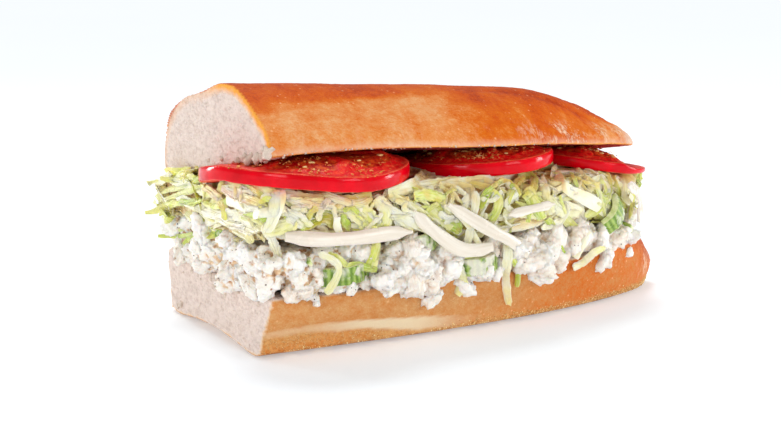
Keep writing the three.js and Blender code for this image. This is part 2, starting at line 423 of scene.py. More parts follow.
def distance_from(points, wanted, marked):
    """Distance in millimetres from each wanted point to the nearest marked point."""
    tree = tree_of(points[marked])
    out = np.zeros(len(points))
    for index in np.nonzero(wanted)[0]:
        out[index] = tree.find(points[index])[2] / MM
    return out


def surface_of(*names):
    """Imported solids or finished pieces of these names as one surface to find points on."""
    bm = bmesh.new()
    for name in names:
        bm.from_mesh(bpy.data.objects[name].data)
    tree = BVHTree.FromBMesh(bm)
    bm.free()
    return tree


def finish_piece(name, mesh, materials, replaced=()):
    """The finished object: smooth, on the only body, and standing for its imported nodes."""
    mesh.name = name
    mesh.materials.clear()
    for material in materials:
        mesh.materials.append(material)
    mesh.polygons.foreach_set("use_smooth", [True] * len(mesh.polygons))
    piece = add_object(name, mesh)
    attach(piece, "root")
    if replaced:
        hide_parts(*replaced)
    mesh.calc_loop_triangles()
    print(f"{name}: {len(mesh.loop_triangles)} triangles")
    return piece

# %% [markdown]
# ## The bread
# A soft roll has a thin crust round a white, open crumb. The crust is darkest on top, paler
# towards the sides, and shows pale blisters near the rounded end. Where the roll is cut or split,
# a golden line a millimetre or two wide marks the crust, and the crumb inside is full of small
# pores. The cut end gets a finer mesh so that the larger pores are real hollows.

# %% Marks and relief of bread
BREAD_SQUARE = 0.8
CUT_REACH = 8


def refine(mesh, chosen):
    """Halves the squares of a mesh whose corners are all in the chosen vertices."""
    bm = bmesh.new()
    bm.from_mesh(mesh)
    bm.verts.ensure_lookup_table()
    edges = [e for e in bm.edges if chosen[e.verts[0].index] and chosen[e.verts[1].index]]
    bmesh.ops.subdivide_edges(bm, edges=edges, cuts=1, use_grid_fill=True)
    bmesh.ops.triangulate(bm, faces=[face for face in bm.faces if len(face.verts) > 4])
    bm.to_mesh(mesh)
    bm.free()


def crumb_hollow(points):
    """How deep the open crumb is hollowed at each point, in millimetres."""
    holes = 0.5 * pits(points, 4.6, 3.1) ** 2 + 0.22 * pits(points, 2.1, 7.7)
    wool = 0.12 * clouds(points, 1.3, 2, 5.0) + 0.3 * clouds(points, 8, 2, 1.0)
    return holes - wool


def crust_relief(points, wrinkle):
    """How far the crust stands up, in millimetres: slow swells and finer wrinkles."""
    swell = 0.3 * clouds(points, 17, 2, 2.0, (1.6, 1, 1))
    return swell + wrinkle * clouds(points, 2.6, 3, 9.0, (1, 1, 1.5))


def mark_bread(mesh, split_face):
    """Points, normals, and the share of cut end and of crumb at every point."""
    points, normals = points_and_normals(mesh)
    cut = step(-normals[:, 0], 0.55, 0.8) * (points[:, 0] < CUT_X + CUT_REACH * MM)
    return points, normals, cut, np.maximum(cut, split_face(normals, points))


def start_bread(node, split_face):
    """A rounded copy of one half of the roll with its crumb marked and its cut end refined."""
    mesh = rounded_copy(node, BREAD_SQUARE)
    refine(mesh, mark_bread(mesh, split_face)[2] > 0.5)
    points, normals, _, crumb = mark_bread(mesh, split_face)
    depth = distance_from(points, crumb >= 0.5, crumb < 0.5)
    keep_values(mesh, crumb=crumb, depth=depth)
    return mesh, points, normals, crumb, depth


def shaped_bread(points, normals, crumb, depth, relief):
    """The points with the crust raised by relief and the crumb hollowed by its pores."""
    hollow = crumb_hollow(points) * step(depth, 0.5, 2.4)
    return pushed(points, normals, np.where(crumb > 0.5, -hollow, relief * (1 - crumb)))


# %% Shape and bake the crown
CROWN_ROLL = math.radians(-10.5)
LID_HEIGHT = 55.2
LID_SLOPE = 0.026
LID_BOW = 1.7
LID_BOW_LENGTH = 125
TIP_TRIM = 2.8
UNDERSIDE_HOLLOW = 0.9


def in_lid(points):
    """Height and sideways place in the level frame of the crown, in millimetres."""
    run = (points[:, 0] - CUT_X) / MM
    bow = LID_BOW * np.sin(np.clip(run / LID_BOW_LENGTH, 0, 1) * math.pi)
    rise = points[:, 2] / MM - (LID_HEIGHT + bow - LID_SLOPE * run)
    side = points[:, 1] / MM
    turn_cos, turn_sin = math.cos(CROWN_ROLL), math.sin(CROWN_ROLL)
    return run, turn_cos * side + turn_sin * rise, turn_cos * rise - turn_sin * side


def crown_split(normals, points):
    """The split underside of the crown, which is rolled open about X."""
    down = normals[:, 1] * math.sin(CROWN_ROLL) - normals[:, 2] * math.cos(CROWN_ROLL)
    return step(down, 0.5, 0.8)


crown, points, normals, crumb, depth = start_bread("bread_crown", crown_split)
run, side, lid = in_lid(points)
tip = step(run, 105, 150)
relief = crust_relief(points, 0.08 + 0.22 * tip)
ridge = hump(np.abs(side) + 0.01 * run, 21.5, 1.6) * step(run, 70, 100)
relief -= 0.35 * ridge * (side < 0)
near_cut = 1 - step(run, 8, 42)
relief += 1.5 * hump(side, 35, 7) * step(lid, 7, 13) * near_cut
relief -= 0.8 * hump(side, 15, 4) * step(lid, 15, 20) * near_cut
moved = shaped_bread(points, normals, crumb, depth, relief)
moved[:, 0] -= TIP_TRIM * MM * step(run, 85, 164)
back_line = 1.9 * hump(run, 114, 17) - 2.0 * hump(run, 152, 11)
moved[:, 2] += back_line * MM * step(lid, 5, 15)
lip = step(-side, 4, 24) * (1 - step(lid, 2, 13)) * hump(run, 74, 30)
moved[:, 2] -= 1.3 * MM * lip
under = crown_split(normals, points) * (side < 2) * step(run, 3, 12)
moved[:, 2] += UNDERSIDE_HOLLOW * MM * under * step(depth, 0.2, 5)
move_points(crown, moved)

# right is 1 beyond the pale left of the side, and top is 1 on the dark upper crust
right = step(run + 9 * clouds(points, 11, 3, 6.0), 58, 100)
top_line = lid + 2.4 * clouds(points, 9, 3, 4.0, (2.4, 1, 1))
top = step(top_line, 13.6 - 5 * right - 4 * tip, 19.4 - 7 * tip)
bands = clouds(points, 6.5, 3, 8.0, (1, 2.6, 2.6))
bake = 0.28 + 0.15 * bands + 0.12 * clouds(points, 22, 2, 3.0) + 0.36 * right
bake += (0.46 - 0.05 * bands - 0.28 * right) * top + 0.13 * tip * top
bake += 0.12 * ridge * (side < 0) - 0.30 * tip * (1 - top)
pale_edge = 0.4 - 0.4 * step(lid + 0.5 * bands, 0.4, 3.0)
pale_end = 0.9 * step(run - 0.8 * lid + 2 * bands, 143, 157)
keep_values(
    crown, bake=bake, pale=np.maximum(pale_edge, pale_end),
    gold=step(-side, -6, 12) * 0.75 + 0.25,
    juice=step(depth, 0.8, 2.4) * crumb * (side < 10) * (run > 5),
    blister=(0.18 + 0.82 * step(run, 85, 118)) * (1 - step(lid, 5.5, 9)))

# %% Shape and bake the heel
SEAM_RUN = [-5, 0, 10, 20, 32, 43, 54, 66, 78, 95]
SEAM_HEIGHT = [8.4, 8.8, 9.7, 9.8, 9.1, 8.3, 7.4, 6.2, 5.0, 4.0]
BAND_LOW = [7.8, 7.5, 7.6, 7.0, 6.2, 4.8, 2.9, 2.0, 2.3, 3.4]


def heel_split(normals, points):
    """The split top of the heel, under the filling."""
    return step(normals[:, 2], 0.6, 0.85) * (points[:, 2] > 16 * MM)


heel, points, normals, crumb, depth = start_bread("bread_heel", heel_split)
run, rise = (points[:, 0] - CUT_X) / MM, points[:, 2] / MM
wave = clouds(points, 7, 2, 6.0)
seam = np.interp(run, SEAM_RUN, SEAM_HEIGHT) + 0.2 * wave
seam_end = 1 - step(run, 68, 84)
base = step(-normals[:, 2], 0.6, 0.9) * (rise < 4)
relief = crust_relief(points, 0.07 + 0.15 * step(run, 120, 160)) * (1 - base)
relief -= 0.30 * hump(rise - seam, 0.3, 0.45) * seam_end * (1 - base)
relief += 0.22 * step(seam - rise, -0.1, 0.6) * (1 - step(seam - rise, 1, 4)) * seam_end
crack = hump(run + 0.3 * wave, 76.8, 0.5) * step(rise, 1.6, 2.6) * (1 - step(rise, 4.4, 5.6))
relief -= 0.55 * crack
moved = shaped_bread(points, normals, crumb, depth, relief)
moved[:, 2] = np.maximum(moved[:, 2], 0)
move_points(heel, moved)

low = np.interp(run, SEAM_RUN, BAND_LOW) + 0.5 * wave
band = step(rise, low - 0.5, low + 0.7) * (1 - step(rise, seam - 0.2, seam + 0.5))
band *= (0.35 + 0.65 * step(run, 8, 38)) * (1 - step(run, 48, 80)) * (1 - base)
grain = 1 - step(rise, low - 1, low + 1.2)
bake = 0.36 + 0.10 * clouds(points, 12, 3, 8.0, (2.5, 1, 1)) + 0.30 * step(run, 68, 128)
bake += 0.10 * hump(rise, 19, 3) + 0.34 * hump(rise, 2, 3.4) * (1 - step(run, 8, 45))
bake += 0.30 * step(run, 150, 168) * step(rise, 6, 14)
# the lowest crust is painted dark: partly real scorch spots, partly painted shadow where the heel
# meets the floor
keep_values(
    heel, bake=bake, band=band, base=base, grain=np.clip(grain, 0, 1) * (1 - base),
    scorch=hump(rise, 0, 0.7) * (1 - crumb), blister=step(run, 146, 162) * step(rise, 4, 9))

# %% [markdown]
# The crust's colour comes from how much heat each place got. The bake value of the mesh, broken up
# by finer noise, runs through a ramp of colours from pale peach to deep orange-brown. The crumb's
# cream replaces it where the crumb value is 1, with painted shade in its pores, and the depth value
# draws the golden line of the crust between them. Blisters are small raised cells that stay pale
# because they are thin. Along the base of the heel a dark line is partly scorch and partly painted
# shadow where the heel meets the floor.

# %% Bread finishes
CRUMB_LIGHT = rgb(230, 212, 201)
CRUMB_SHADE = rgb(182, 156, 142)


def crumb_colour(finish, crust_line, line_width, weak=False):
    """The crumb, with painted shade in its pores and the golden crust line at its edge."""
    pore_shade = finish.remap(finish.cells(1.4, stretch=(1, 1.9, 1)), 0.05, 0.42, 0.5, 1)
    cloud = finish.noise(1.6, 4, 0.65, 0.0, (1, 1.9, 1))
    tone = finish.add(finish.times(pore_shade, 0.6), finish.remap(cloud, 0.32, 0.6, 0, 0.5))
    colour = finish.mix(tone, CRUMB_SHADE, CRUMB_LIGHT)
    uneven = finish.add(finish.value("depth"), finish.remap(cloud, 0.3, 0.7, -0.4, 0.4))
    line = finish.remap(uneven, line_width * 0.5, line_width * 1.5, 1.0, 0.0)
    if weak:
        line = finish.times(line, finish.value("gold"))
    return finish.mix(line, colour, crust_line)


def crumb_bump(finish):
    """Fine torn wool over the larger pores of the mesh."""
    fine = finish.add(finish.noise(0.8, 4), finish.remap(finish.cells(1.2), 0, 0.5))
    return finish.bump(fine, 0.45, 0.85)


def crust_finish(name, stops, roughness):
    """A baked crust over crumb; hands back the finish with its colour and its raised blisters."""
    f = Finish(name, glow=(1.6, 0.8, 0.4), Specular_IOR_Level=0.09, Subsurface_Weight=0.05)
    streaks = f.noise(0.8, 3, 0.65, 0.2, (2.0, 1, 1), (0, 38, 0))
    heat = f.add(f.value("bake"), f.remap(f.noise(3.0, 4, 0.65), 0.3, 0.7, -0.11, 0.11))
    grain = f.noise(0.5, 2, 0.6)
    heat = f.add(heat, f.remap(streaks, 0.35, 0.65, -0.07, 0.07),
                 f.remap(grain, 0.3, 0.7, -0.08, 0.08))
    colour = f.ramp(heat, stops)
    spots = f.dots(1.25, 0.14, 0.36)
    patches = f.remap(f.noise(9, 2, 0.6, 0.6, (1, 1, 1.6)), 0.46, 0.58)
    torn = f.remap(f.noise(1.7, 4, 0.7, 0.4, (1, 1, 2.6)), 0.48, 0.60)
    blisters = f.times(f.math("MAXIMUM", f.times(spots, 0.6), torn), patches, f.value("blister"))
    specks = f.times(f.dots(2.3, 0.09, 0.2), 0.55)
    colour = f.mix(f.times(blisters, 0.8), colour, rgb(252, 216, 184))
    colour = f.mix(f.times(specks, f.patches(9, 2, 0.45, 0.6)), colour, rgb(250, 200, 150))
    height = f.add(blisters, f.times(streaks, 0.5), f.times(grain, 0.7))
    rough = f.patches(5, 3, 0.3, 0.7, roughness, roughness + 0.16)
    return f, colour, height, rough


# %% Finish the crown
f, colour, height, rough = crust_finish("crown_crust", [
    (0.0, 234, 180, 128),
    (0.28, 228, 144, 76),
    (0.52, 219, 108, 16),
    (0.76, 208, 84, 2),
    (1.0, 172, 54, 0),
], 0.42)
colour = f.mix(f.times(f.value("pale"), 0.8), colour, rgb(236, 212, 194))
crumb_side = f.value("crumb")
colour = f.mix(crumb_side, colour, crumb_colour(f, rgb(246, 168, 72), 2.3, True))
colour = f.mix(f.times(f.value("juice"), 0.9), colour, rgb(186, 40, 30))
rough = f.add(rough, f.times(crumb_side, 0.45))
normal = f.mix_normals(crumb_side, f.bump(height, 0.32, 0.8), crumb_bump(f))
f.set(Base_Color=colour, Roughness=rough, Normal=normal)
finish_piece("crown_of_roll", crown, [f.material], ["bread_crown"])

# %% Finish the heel
f, colour, height, rough = crust_finish("heel_crust", [
    (0.0, 226, 192, 148),
    (0.25, 213, 160, 104),
    (0.5, 206, 134, 72),
    (0.74, 211, 110, 36),
    (1.0, 186, 80, 36),
], 0.46)
colour = f.mix(f.value("band"), colour, rgb(228, 208, 174))
grains = f.times(f.dots(0.8, 0.16, 0.4), f.value("grain"))
golden = f.patches(1.2, 3, 0.35, 0.65)
golden = f.mix(golden, rgb(192, 124, 58), rgb(222, 172, 106))
colour = f.mix(f.times(f.value("grain"), 0.55), colour, golden)
colour = f.mix(f.times(grains, 0.45), colour, rgb(244, 208, 146))
under = f.ramp(f.noise(4, 4), [(0.35, 150, 92, 48), (0.5, 196, 140, 88), (0.7, 226, 186, 136)])
colour = f.mix(f.value("base"), colour, under)
# Dark brown along the base: scorch spots and a painted contact shadow.
dark = f.times(f.value("scorch"), f.patches(3, 3, 0.4, 0.6, 0.35, 1))
colour = f.mix(dark, colour, rgb(110, 62, 30))
crumb_side = f.value("crumb")
colour = f.mix(crumb_side, colour, crumb_colour(f, rgb(240, 206, 170), 0.8))
rough = f.add(rough, f.times(crumb_side, 0.35))
normal = f.mix_normals(crumb_side, f.bump(f.add(height, grains), 0.32, 0.8), crumb_bump(f))
f.set(Base_Color=colour, Roughness=rough, Normal=normal)
finish_piece("heel_of_roll", heel, [f.material], ["bread_heel"])

# %% [markdown]
# ## Placing food along a line of sight
# The salad and lettuce are heaps, so the pieces that give them their look are laid over the packed
# heaps. The ones at the front are placed where a reference view shows them: a line from the camera
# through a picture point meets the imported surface, and the piece lies there, raised a little for
# the pieces under it. Where the line passes the heap, the point keeps the distance of its
# neighbour, as the tip of a leaf that sticks out does.

# %% Lines of sight
eye = np.array(camera.location)
view_right = np.array(camera.rotation_euler.to_matrix().col[0])
view_up = np.array(camera.rotation_euler.to_matrix().col[1])
view_ahead = -np.array(camera.rotation_euler.to_matrix().col[2])
heap_surface = surface_of("chicken_salad", "shredded_lettuce", "bread_heel")
print("camera distance in mm:", round(float(np.linalg.norm(eye)) / MM))


def sight(across, down):
    """The direction from the camera through a point of the picture, one metre ahead."""
    right = (across - IMAGE_WIDTH / 2) / LENS_IN_PIXELS
    up = (IMAGE_HEIGHT / 2 - down) / LENS_IN_PIXELS
    return view_ahead + view_right * right + view_up * up


def on_surface(surface, picture_points, lift):
    """Points in metres where lines of sight meet a surface, lift millimetres nearer."""
    rays = [sight(*point) for point in picture_points]
    hits = [surface.ray_cast(Vector(eye), Vector(ray).normalized())[0] for ray in rays]
    reach = [None if hit is None else float((np.array(hit) - eye) @ view_ahead) for hit in hits]
    known = [index for index, value in enumerate(reach) if value is not None]
    out = []
    for index, ray in enumerate(rays):
        near = min(known, key=lambda k: abs(k - index))
        out.append(eye + ray * (reach[near] - lift * MM))
    return np.array(out)


# %% [markdown]
# ## Strips
# Shredded lettuce, onion strips and flakes of herb are all thin strips. One flat strip is made
# with create_grid and solidify, and then bent: every vertex knows how far along, across and
# through the strip it is, so a whole copy can be laid along any smooth line, with its own width,
# thickness, twist and ruffled edge. Hundreds of copies joined in one mesh stay quick to draw.

# %% One flat strip
ALONG_STEPS = 22


def flat_strip(along_steps, across_steps):
    """A strip 1 long, 2 wide and 2 thick, from operators, as a mesh."""
    bm = bmesh.new()
    bmesh.ops.create_grid(bm, x_segments=along_steps, y_segments=across_steps, size=1)
    bmesh.ops.solidify(bm, geom=bm.faces[:], thickness=0.5)
    low = min(v.co.z for v in bm.verts)
    high = max(v.co.z for v in bm.verts)
    for vert in bm.verts:
        vert.co.x = (vert.co.x + 1) / 2
        vert.co.z = 2 * (vert.co.z - low) / (high - low) - 1
    bmesh.ops.recalc_face_normals(bm, faces=bm.faces[:])
    return mesh_from(bm, "strip")


def copies_of(unit, blocks):
    """One mesh with a copy of a unit mesh for each block of points, moved to those points."""
    bm = bmesh.new()
    for _ in blocks:
        bm.from_mesh(unit)
    mesh = mesh_from(bm, "copies")
    move_points(mesh, np.concatenate(blocks))
    return mesh


strip_unit = flat_strip(ALONG_STEPS, 5)
print("strip:", len(strip_unit.vertices), "vertices")

# %% Bend a strip along a line
def smooth_line(knots, count):
    """count points evenly along a smooth curve through the knots."""
    knots = np.asarray(knots, float)
    if len(knots) == 2:
        knots = np.array([knots[0], (knots[0] + knots[1]) / 2, knots[1]])
    ends = np.vstack([2 * knots[0] - knots[1], knots, 2 * knots[-1] - knots[-2]])
    fine = []
    for a, b, c, d in zip(ends, ends[1:], ends[2:], ends[3:]):
        for t in np.linspace(0, 1, 12, endpoint=False):
            fine.append(0.5 * (2 * b + (c - a) * t + (2 * a - 5 * b + 4 * c - d) * t * t
                               + (3 * b - a - 3 * c + d) * t ** 3))
    fine = np.array(fine + [knots[-1]])
    length = np.concatenate([[0], np.cumsum(np.linalg.norm(np.diff(fine, axis=0), axis=1))])
    even = np.linspace(0, length[-1], count)
    return np.stack([np.interp(even, length, fine[:, axis]) for axis in range(3)], 1)


def bend(unit_points, line, ups, width, thick, shape):
    """Points of one strip laid along a line, width and thick in millimetres.

    The shape may have: taper, the share of the width left at both ends, and reach, how far the
    taper goes; cup across the strip; twist and lean in radians; frill and waves of its edges;
    torn edges; and a phase that makes two strips of one shape differ.
    """
    count = len(line)
    where = np.rint(unit_points[:, 0] * (count - 1)).astype(int)
    along, across, through = unit_points.T
    tangent = np.gradient(line, axis=0)
    tangent /= np.linalg.norm(tangent, axis=1)[:, None] + 1e-12
    side = np.cross(tangent, ups)
    side /= np.linalg.norm(side, axis=1)[:, None] + 1e-12
    up = np.cross(side, tangent)
    share = np.linspace(0, 1, count)
    start, end = shape["taper"]
    reach = shape.get("reach", 0.12)
    taper = start + (1 - start) * step(share, 0, reach)
    taper *= end + (1 - end) * step(1 - share, 0, reach)
    phase, edge = shape.get("phase", 0), np.abs(across)
    half = width / 2 * taper * (1 + 0.08 * np.sin(share * 11 + phase))
    torn = np.sin(along * 37 + np.sign(across) * 2 + phase * 3)
    torn += np.sin(along * 83 + np.sign(across) * 5)
    torn *= shape.get("torn", 0) * step(edge, 0.5, 1.0)
    angle = shape.get("twist", 0) * (share - 0.5) + shape.get("lean", 0)
    side_turned = side * np.cos(angle)[:, None] + up * np.sin(angle)[:, None]
    up_turned = up * np.cos(angle)[:, None] - side * np.sin(angle)[:, None]
    depth = thick / 2 * (1 - 0.82 * edge ** 3)
    cup = shape.get("cup", 0) * width * (across ** 2 - 0.3)
    frill = shape.get("frill", 0) * width * edge ** 2
    frill = frill * np.sin(along * shape.get("waves", 9) + across * 1.4 + phase)
    rise = through * depth + cup + frill
    return line[where] + (side_turned[where] * (across * half[where] * (1 + torn))[:, None]
                          + up_turned[where] * rise[:, None]) * MM


def strips_mesh(strips, unit):
    """One mesh of all strips; each is (line, ups, width, thick, tint, shape)."""
    unit_points = points_of(unit)
    mesh = copies_of(unit, [bend(unit_points, line, ups, width, thick, shape)
                            for line, ups, width, thick, tint, shape in strips])
    along, across, _ = np.tile(unit_points, (len(strips), 1)).T
    each = len(unit_points)
    keep_values(mesh, along=along, across=across, tint=np.repeat([s[4] for s in strips], each),
                seed=np.repeat(dice.random(len(strips)), each))
    mesh.set_sharp_from_angle(angle=SHARP_EDGE)
    return mesh

# %% [markdown]
# ## Lettuce
# Iceberg is shredded across its leaves, so there are two kinds of shred: thick white ribs, smooth
# and nearly clear, and thin leaf pieces, cream to green, with ruffled edges. The front ones are
# placed by sight. Each line below is: tint from 0 white to 1 olive, width and lift in millimetres,
# and picture points from one end to the other.

# %% Shreds placed by sight
FRONT_SHREDS = [
    (0.55, 2.2, 0.6, [(161, 193), (170, 189), (181, 187), (190, 184), (199, 179)]),
    (0.50, 2.0, 0.9, [(166, 200), (176, 196), (187, 192), (197, 189), (206, 187)]),
    (0.62, 2.3, 1.2, [(145, 213), (155, 211), (166, 206), (178, 203), (190, 201), (202, 200)]),
    (0.85, 2.2, 1.7, [(179, 202), (187, 203), (196, 202)]),
    (0.78, 1.6, 1.5, [(158, 236), (170, 236), (182, 236), (193, 234)]),
    (0.78, 1.6, 1.0, [(183, 247), (187, 241), (194, 236), (203, 231)]),
    (0.75, 1.5, 1.2, [(197, 257), (198, 249), (196, 241)]),
    (0.62, 2.2, 0.7, [(203, 200), (213, 206), (224, 203), (231, 197)]),
    (0.35, 3.0, 1.2, [(205, 186), (213, 192), (221, 200)]),
    (0.40, 2.2, 1.3, [(222, 190), (234, 195), (247, 198), (259, 203), (269, 211)]),
    # painted shade: this leaf lies in shadow and is given a dark olive tint
    (0.92, 2.2, 0.5, [(234, 183), (246, 187), (257, 193), (265, 199), (271, 205)]),
    (0.12, 3.2, 0.9, [(227, 199), (239, 204), (251, 207)]),
    (0.10, 5.0, 2.0, [(276, 186), (277, 198), (275, 210), (270, 222), (262, 232)]),
    (0.10, 3.0, 2.3, [(254, 214), (263, 213), (275, 211), (285, 207)]),
    (0.75, 1.8, 2.4, [(259, 216), (266, 221)]),
    (0.35, 4.2, 1.5, [(262, 232), (275, 229), (286, 225), (297, 222)]),
    (0.16, 2.6, 1.0, [(268, 232), (273, 242), (277, 252), (279, 262)]),
    (0.25, 2.4, 1.6, [(283, 212), (294, 214), (302, 219), (311, 227)]),
    (0.20, 2.0, 1.4, [(286, 218), (294, 222), (303, 227)]),
    (0.95, 4.0, 0.6, [(299, 225), (311, 222), (322, 217), (333, 219), (331, 228)]),
    (0.45, 3.2, 0.9, [(284, 201), (300, 203), (317, 203), (333, 205), (347, 211)]),
    (0.40, 3.2, 1.1, [(330, 205), (345, 210), (356, 217), (366, 224)]),
    (0.80, 2.6, 1.0, [(341, 215), (345, 222), (350, 229)]),
    (0.05, 2.2, 1.8, [(337, 217), (337, 226), (341, 236)]),
    (0.08, 2.4, 0.9, [(357, 202), (359, 212)]),
    (0.85, 2.0, 1.0, [(368, 197), (369, 205), (371, 213)]),
    (0.50, 4.0, 1.4, [(361, 207), (368, 214), (374, 222), (377, 231)]),
    (0.42, 4.0, 1.6, [(376, 198), (384, 208), (386, 219), (380, 229)]),
    (0.60, 2.4, 3.4, [(374, 226), (376, 240), (374, 254), (368, 268)]),
    (0.35, 2.5, 1.2, [(384, 192), (397, 199), (409, 205), (421, 212), (432, 221)]),
    (0.22, 2.6, 1.5, [(380, 203), (394, 211), (408, 220), (421, 227), (436, 233)]),
    (0.30, 2.3, 1.0, [(391, 213), (402, 222), (413, 229)]),
    (0.66, 3.4, 2.0, [(414, 196), (424, 195), (435, 197), (444, 202)]),
    (0.22, 4.0, 2.4, [(429, 167), (424, 176), (416, 184), (403, 189), (388, 193)]),
    (0.30, 2.3, 5.4, [(318, 253), (330, 258), (339, 267), (335, 281), (326, 294)]),
    (0.78, 2.2, 4.6, [(346, 266), (357, 265), (367, 268), (377, 270)]),
    (0.62, 1.8, 4.6, [(328, 254), (338, 258), (347, 266)]),
    (0.65, 2.8, 0.9, [(436, 206), (446, 214), (455, 222), (461, 232)]),
    (0.80, 2.4, 0.9, [(440, 222), (450, 226), (460, 232)]),
    (0.45, 2.5, 1.2, [(428, 208), (440, 219), (452, 228)]),
    (0.70, 2.6, 1.2, [(479, 208), (483, 199), (489, 190)]),
    (0.60, 2.8, 1.4, [(489, 189), (498, 199), (497, 211), (490, 220)]),
    (0.70, 2.6, 1.8, [(507, 206), (510, 194), (518, 182), (527, 175), (535, 180), (532, 191),
                      (524, 199)]),
    (0.66, 3.4, 2.2, [(526, 188), (533, 198), (537, 209), (542, 219)]),
    (0.38, 3.0, 1.4, [(503, 213), (518, 213), (533, 214), (546, 215)]),
    (0.28, 3.8, 1.4, [(540, 178), (543, 190), (547, 202), (552, 214)]),
    (0.25, 2.8, 2.4, [(505, 240), (508, 252), (507, 264), (506, 276), (507, 290), (509, 305)]),
    (0.78, 1.7, 2.2, [(509, 248), (514, 261), (518, 273), (517, 287)]),
    (0.35, 3.0, 2.0, [(452, 258), (459, 269), (463, 283), (457, 295)]),
    (0.62, 2.8, 1.0, [(462, 254), (473, 255), (486, 262)]),
    (0.50, 2.8, 1.1, [(478, 262), (489, 265), (497, 273)]),
    (0.18, 2.1, 2.2, [(551, 177), (556, 168), (565, 164), (576, 169), (587, 179)]),
    (0.50, 2.3, 1.4, [(578, 167), (590, 169), (599, 178), (607, 192)]),
    (0.08, 3.4, 1.9, [(555, 172), (562, 184), (573, 193)]),
    (0.08, 4.2, 1.3, [(568, 190), (583, 197), (598, 206), (613, 218)]),
    (0.38, 2.5, 1.0, [(585, 178), (594, 186), (599, 197)]),
    (0.78, 2.5, 2.2, [(557, 241), (561, 251), (568, 262)]),
    (0.10, 2.3, 2.3, [(591, 233), (583, 245), (575, 258)]),
    (0.33, 2.6, 2.4, [(573, 268), (584, 262), (594, 253), (606, 247)]),
    (0.70, 2.3, 1.6, [(596, 190), (603, 198), (611, 206)]),
    (0.50, 2.8, 0.7, [(606, 172), (614, 183), (618, 196)]),
    (0.40, 2.5, 1.2, [(616, 180), (622, 192), (626, 205)]),
    (0.45, 3.0, 0.5, [(200, 181), (214, 183), (228, 186), (242, 188)]),
    (0.30, 3.2, 0.6, [(225, 184), (245, 188), (262, 191), (280, 195)]),
    (0.25, 3.0, 0.6, [(262, 190), (285, 194), (305, 198), (325, 200)]),
    (0.50, 3.0, 0.5, [(300, 197), (325, 199), (350, 200), (372, 196)]),
    (0.35, 3.0, 0.5, [(395, 190), (415, 186), (440, 183), (462, 180)]),
    (0.20, 3.0, 0.5, [(440, 184), (470, 181), (500, 178), (530, 172)]),
    (0.45, 3.0, 0.5, [(500, 177), (525, 172), (550, 166), (570, 163)]),
    (0.35, 2.6, 0.8, [(170, 181), (185, 184), (200, 190), (213, 196)]),
    (0.30, 3.0, 0.6, [(176, 196), (190, 203), (204, 212), (215, 220)]),
    (0.18, 3.4, 0.5, [(196, 205), (210, 212), (226, 216), (240, 214)]),
    (0.22, 3.2, 0.6, [(205, 222), (218, 218), (232, 222), (246, 226)]),
    (0.40, 2.4, 0.9, [(186, 212), (196, 222), (206, 229)]),
    (0.50, 2.2, 1.0, [(160, 178), (172, 180), (184, 178), (196, 176)]),
    (0.25, 3.4, 0.9, [(226, 213), (238, 216), (250, 221), (262, 230)]),
    (0.17, 3.4, 1.0, [(230, 224), (243, 227), (256, 233)]),
    (0.30, 2.6, 1.2, [(240, 210), (250, 216), (256, 226)]),
    (0.28, 2.8, 0.9, [(548, 200), (556, 210), (568, 214), (580, 212)]),
    (0.22, 3.0, 3.0, [(276, 190), (275, 203), (272, 218), (269, 233)]),
    (0.42, 1.7, 3.0, [(376, 236), (378, 248), (375, 262), (374, 270)]),
    (0.18, 2.4, 3.2, [(476, 191), (475, 208), (471, 226), (467, 246)]),
    (0.12, 1.8, 3.0, [(444, 205), (458, 214), (470, 228), (480, 246)]),
    (0.50, 2.6, 2.0, [(206, 188), (216, 196), (224, 208), (226, 220)]),
    (0.20, 2.8, 1.6, [(222, 186), (232, 194), (246, 200), (262, 204)]),
    (0.24, 2.6, 1.4, [(284, 196), (300, 202), (318, 206), (334, 204)]),
    (0.34, 2.4, 1.4, [(322, 194), (340, 200), (358, 204), (372, 198)]),
]


RIB_TINT = 0.16  # paler than this is a rib
LEAF_THICK = 0.26


def ruffles(rib, frill, waves, ends, reach):
    """The random edges of one shred; every range is (low, high)."""
    return {
        "frill": 0.0 if rib else dice.uniform(*frill), "waves": dice.uniform(*waves),
        "phase": dice.uniform(0, 6), "taper": (dice.uniform(*ends), dice.uniform(*ends)),
        "reach": dice.uniform(*reach), "torn": 0.0 if rib else dice.uniform(0.03, 0.10),
    }


def front_strip(tint, width, lift, picture_points):
    """One strip placed by sight, with its broad side towards the camera."""
    line = smooth_line(on_surface(heap_surface, picture_points, lift), ALONG_STEPS + 1)
    ups = np.tile(-view_ahead, (len(line), 1))
    rib = tint < RIB_TINT
    shape = {
        "twist": dice.uniform(-0.9, 0.9), "lean": dice.uniform(-0.35, 0.35),
        "cup": dice.uniform(0.02, 0.08) * (1 if rib else dice.choice([-1, 1.6])),
        **ruffles(rib, (0.04, 0.12), (9, 22), (0.2, 0.9), (0.04, 0.14)),
    }
    return line, ups, width * 1.05, 0.8 if rib else LEAF_THICK, tint, shape


# %% Shreds that wander over the heap
lettuce_mesh = nodes["shredded_lettuce"].data
lettuce_surface = surface_of("shredded_lettuce")
face_middle = np.array([p.center for p in lettuce_mesh.polygons])
face_normal = np.array([p.normal for p in lettuce_mesh.polygons])
face_area = np.array([p.area for p in lettuce_mesh.polygons])


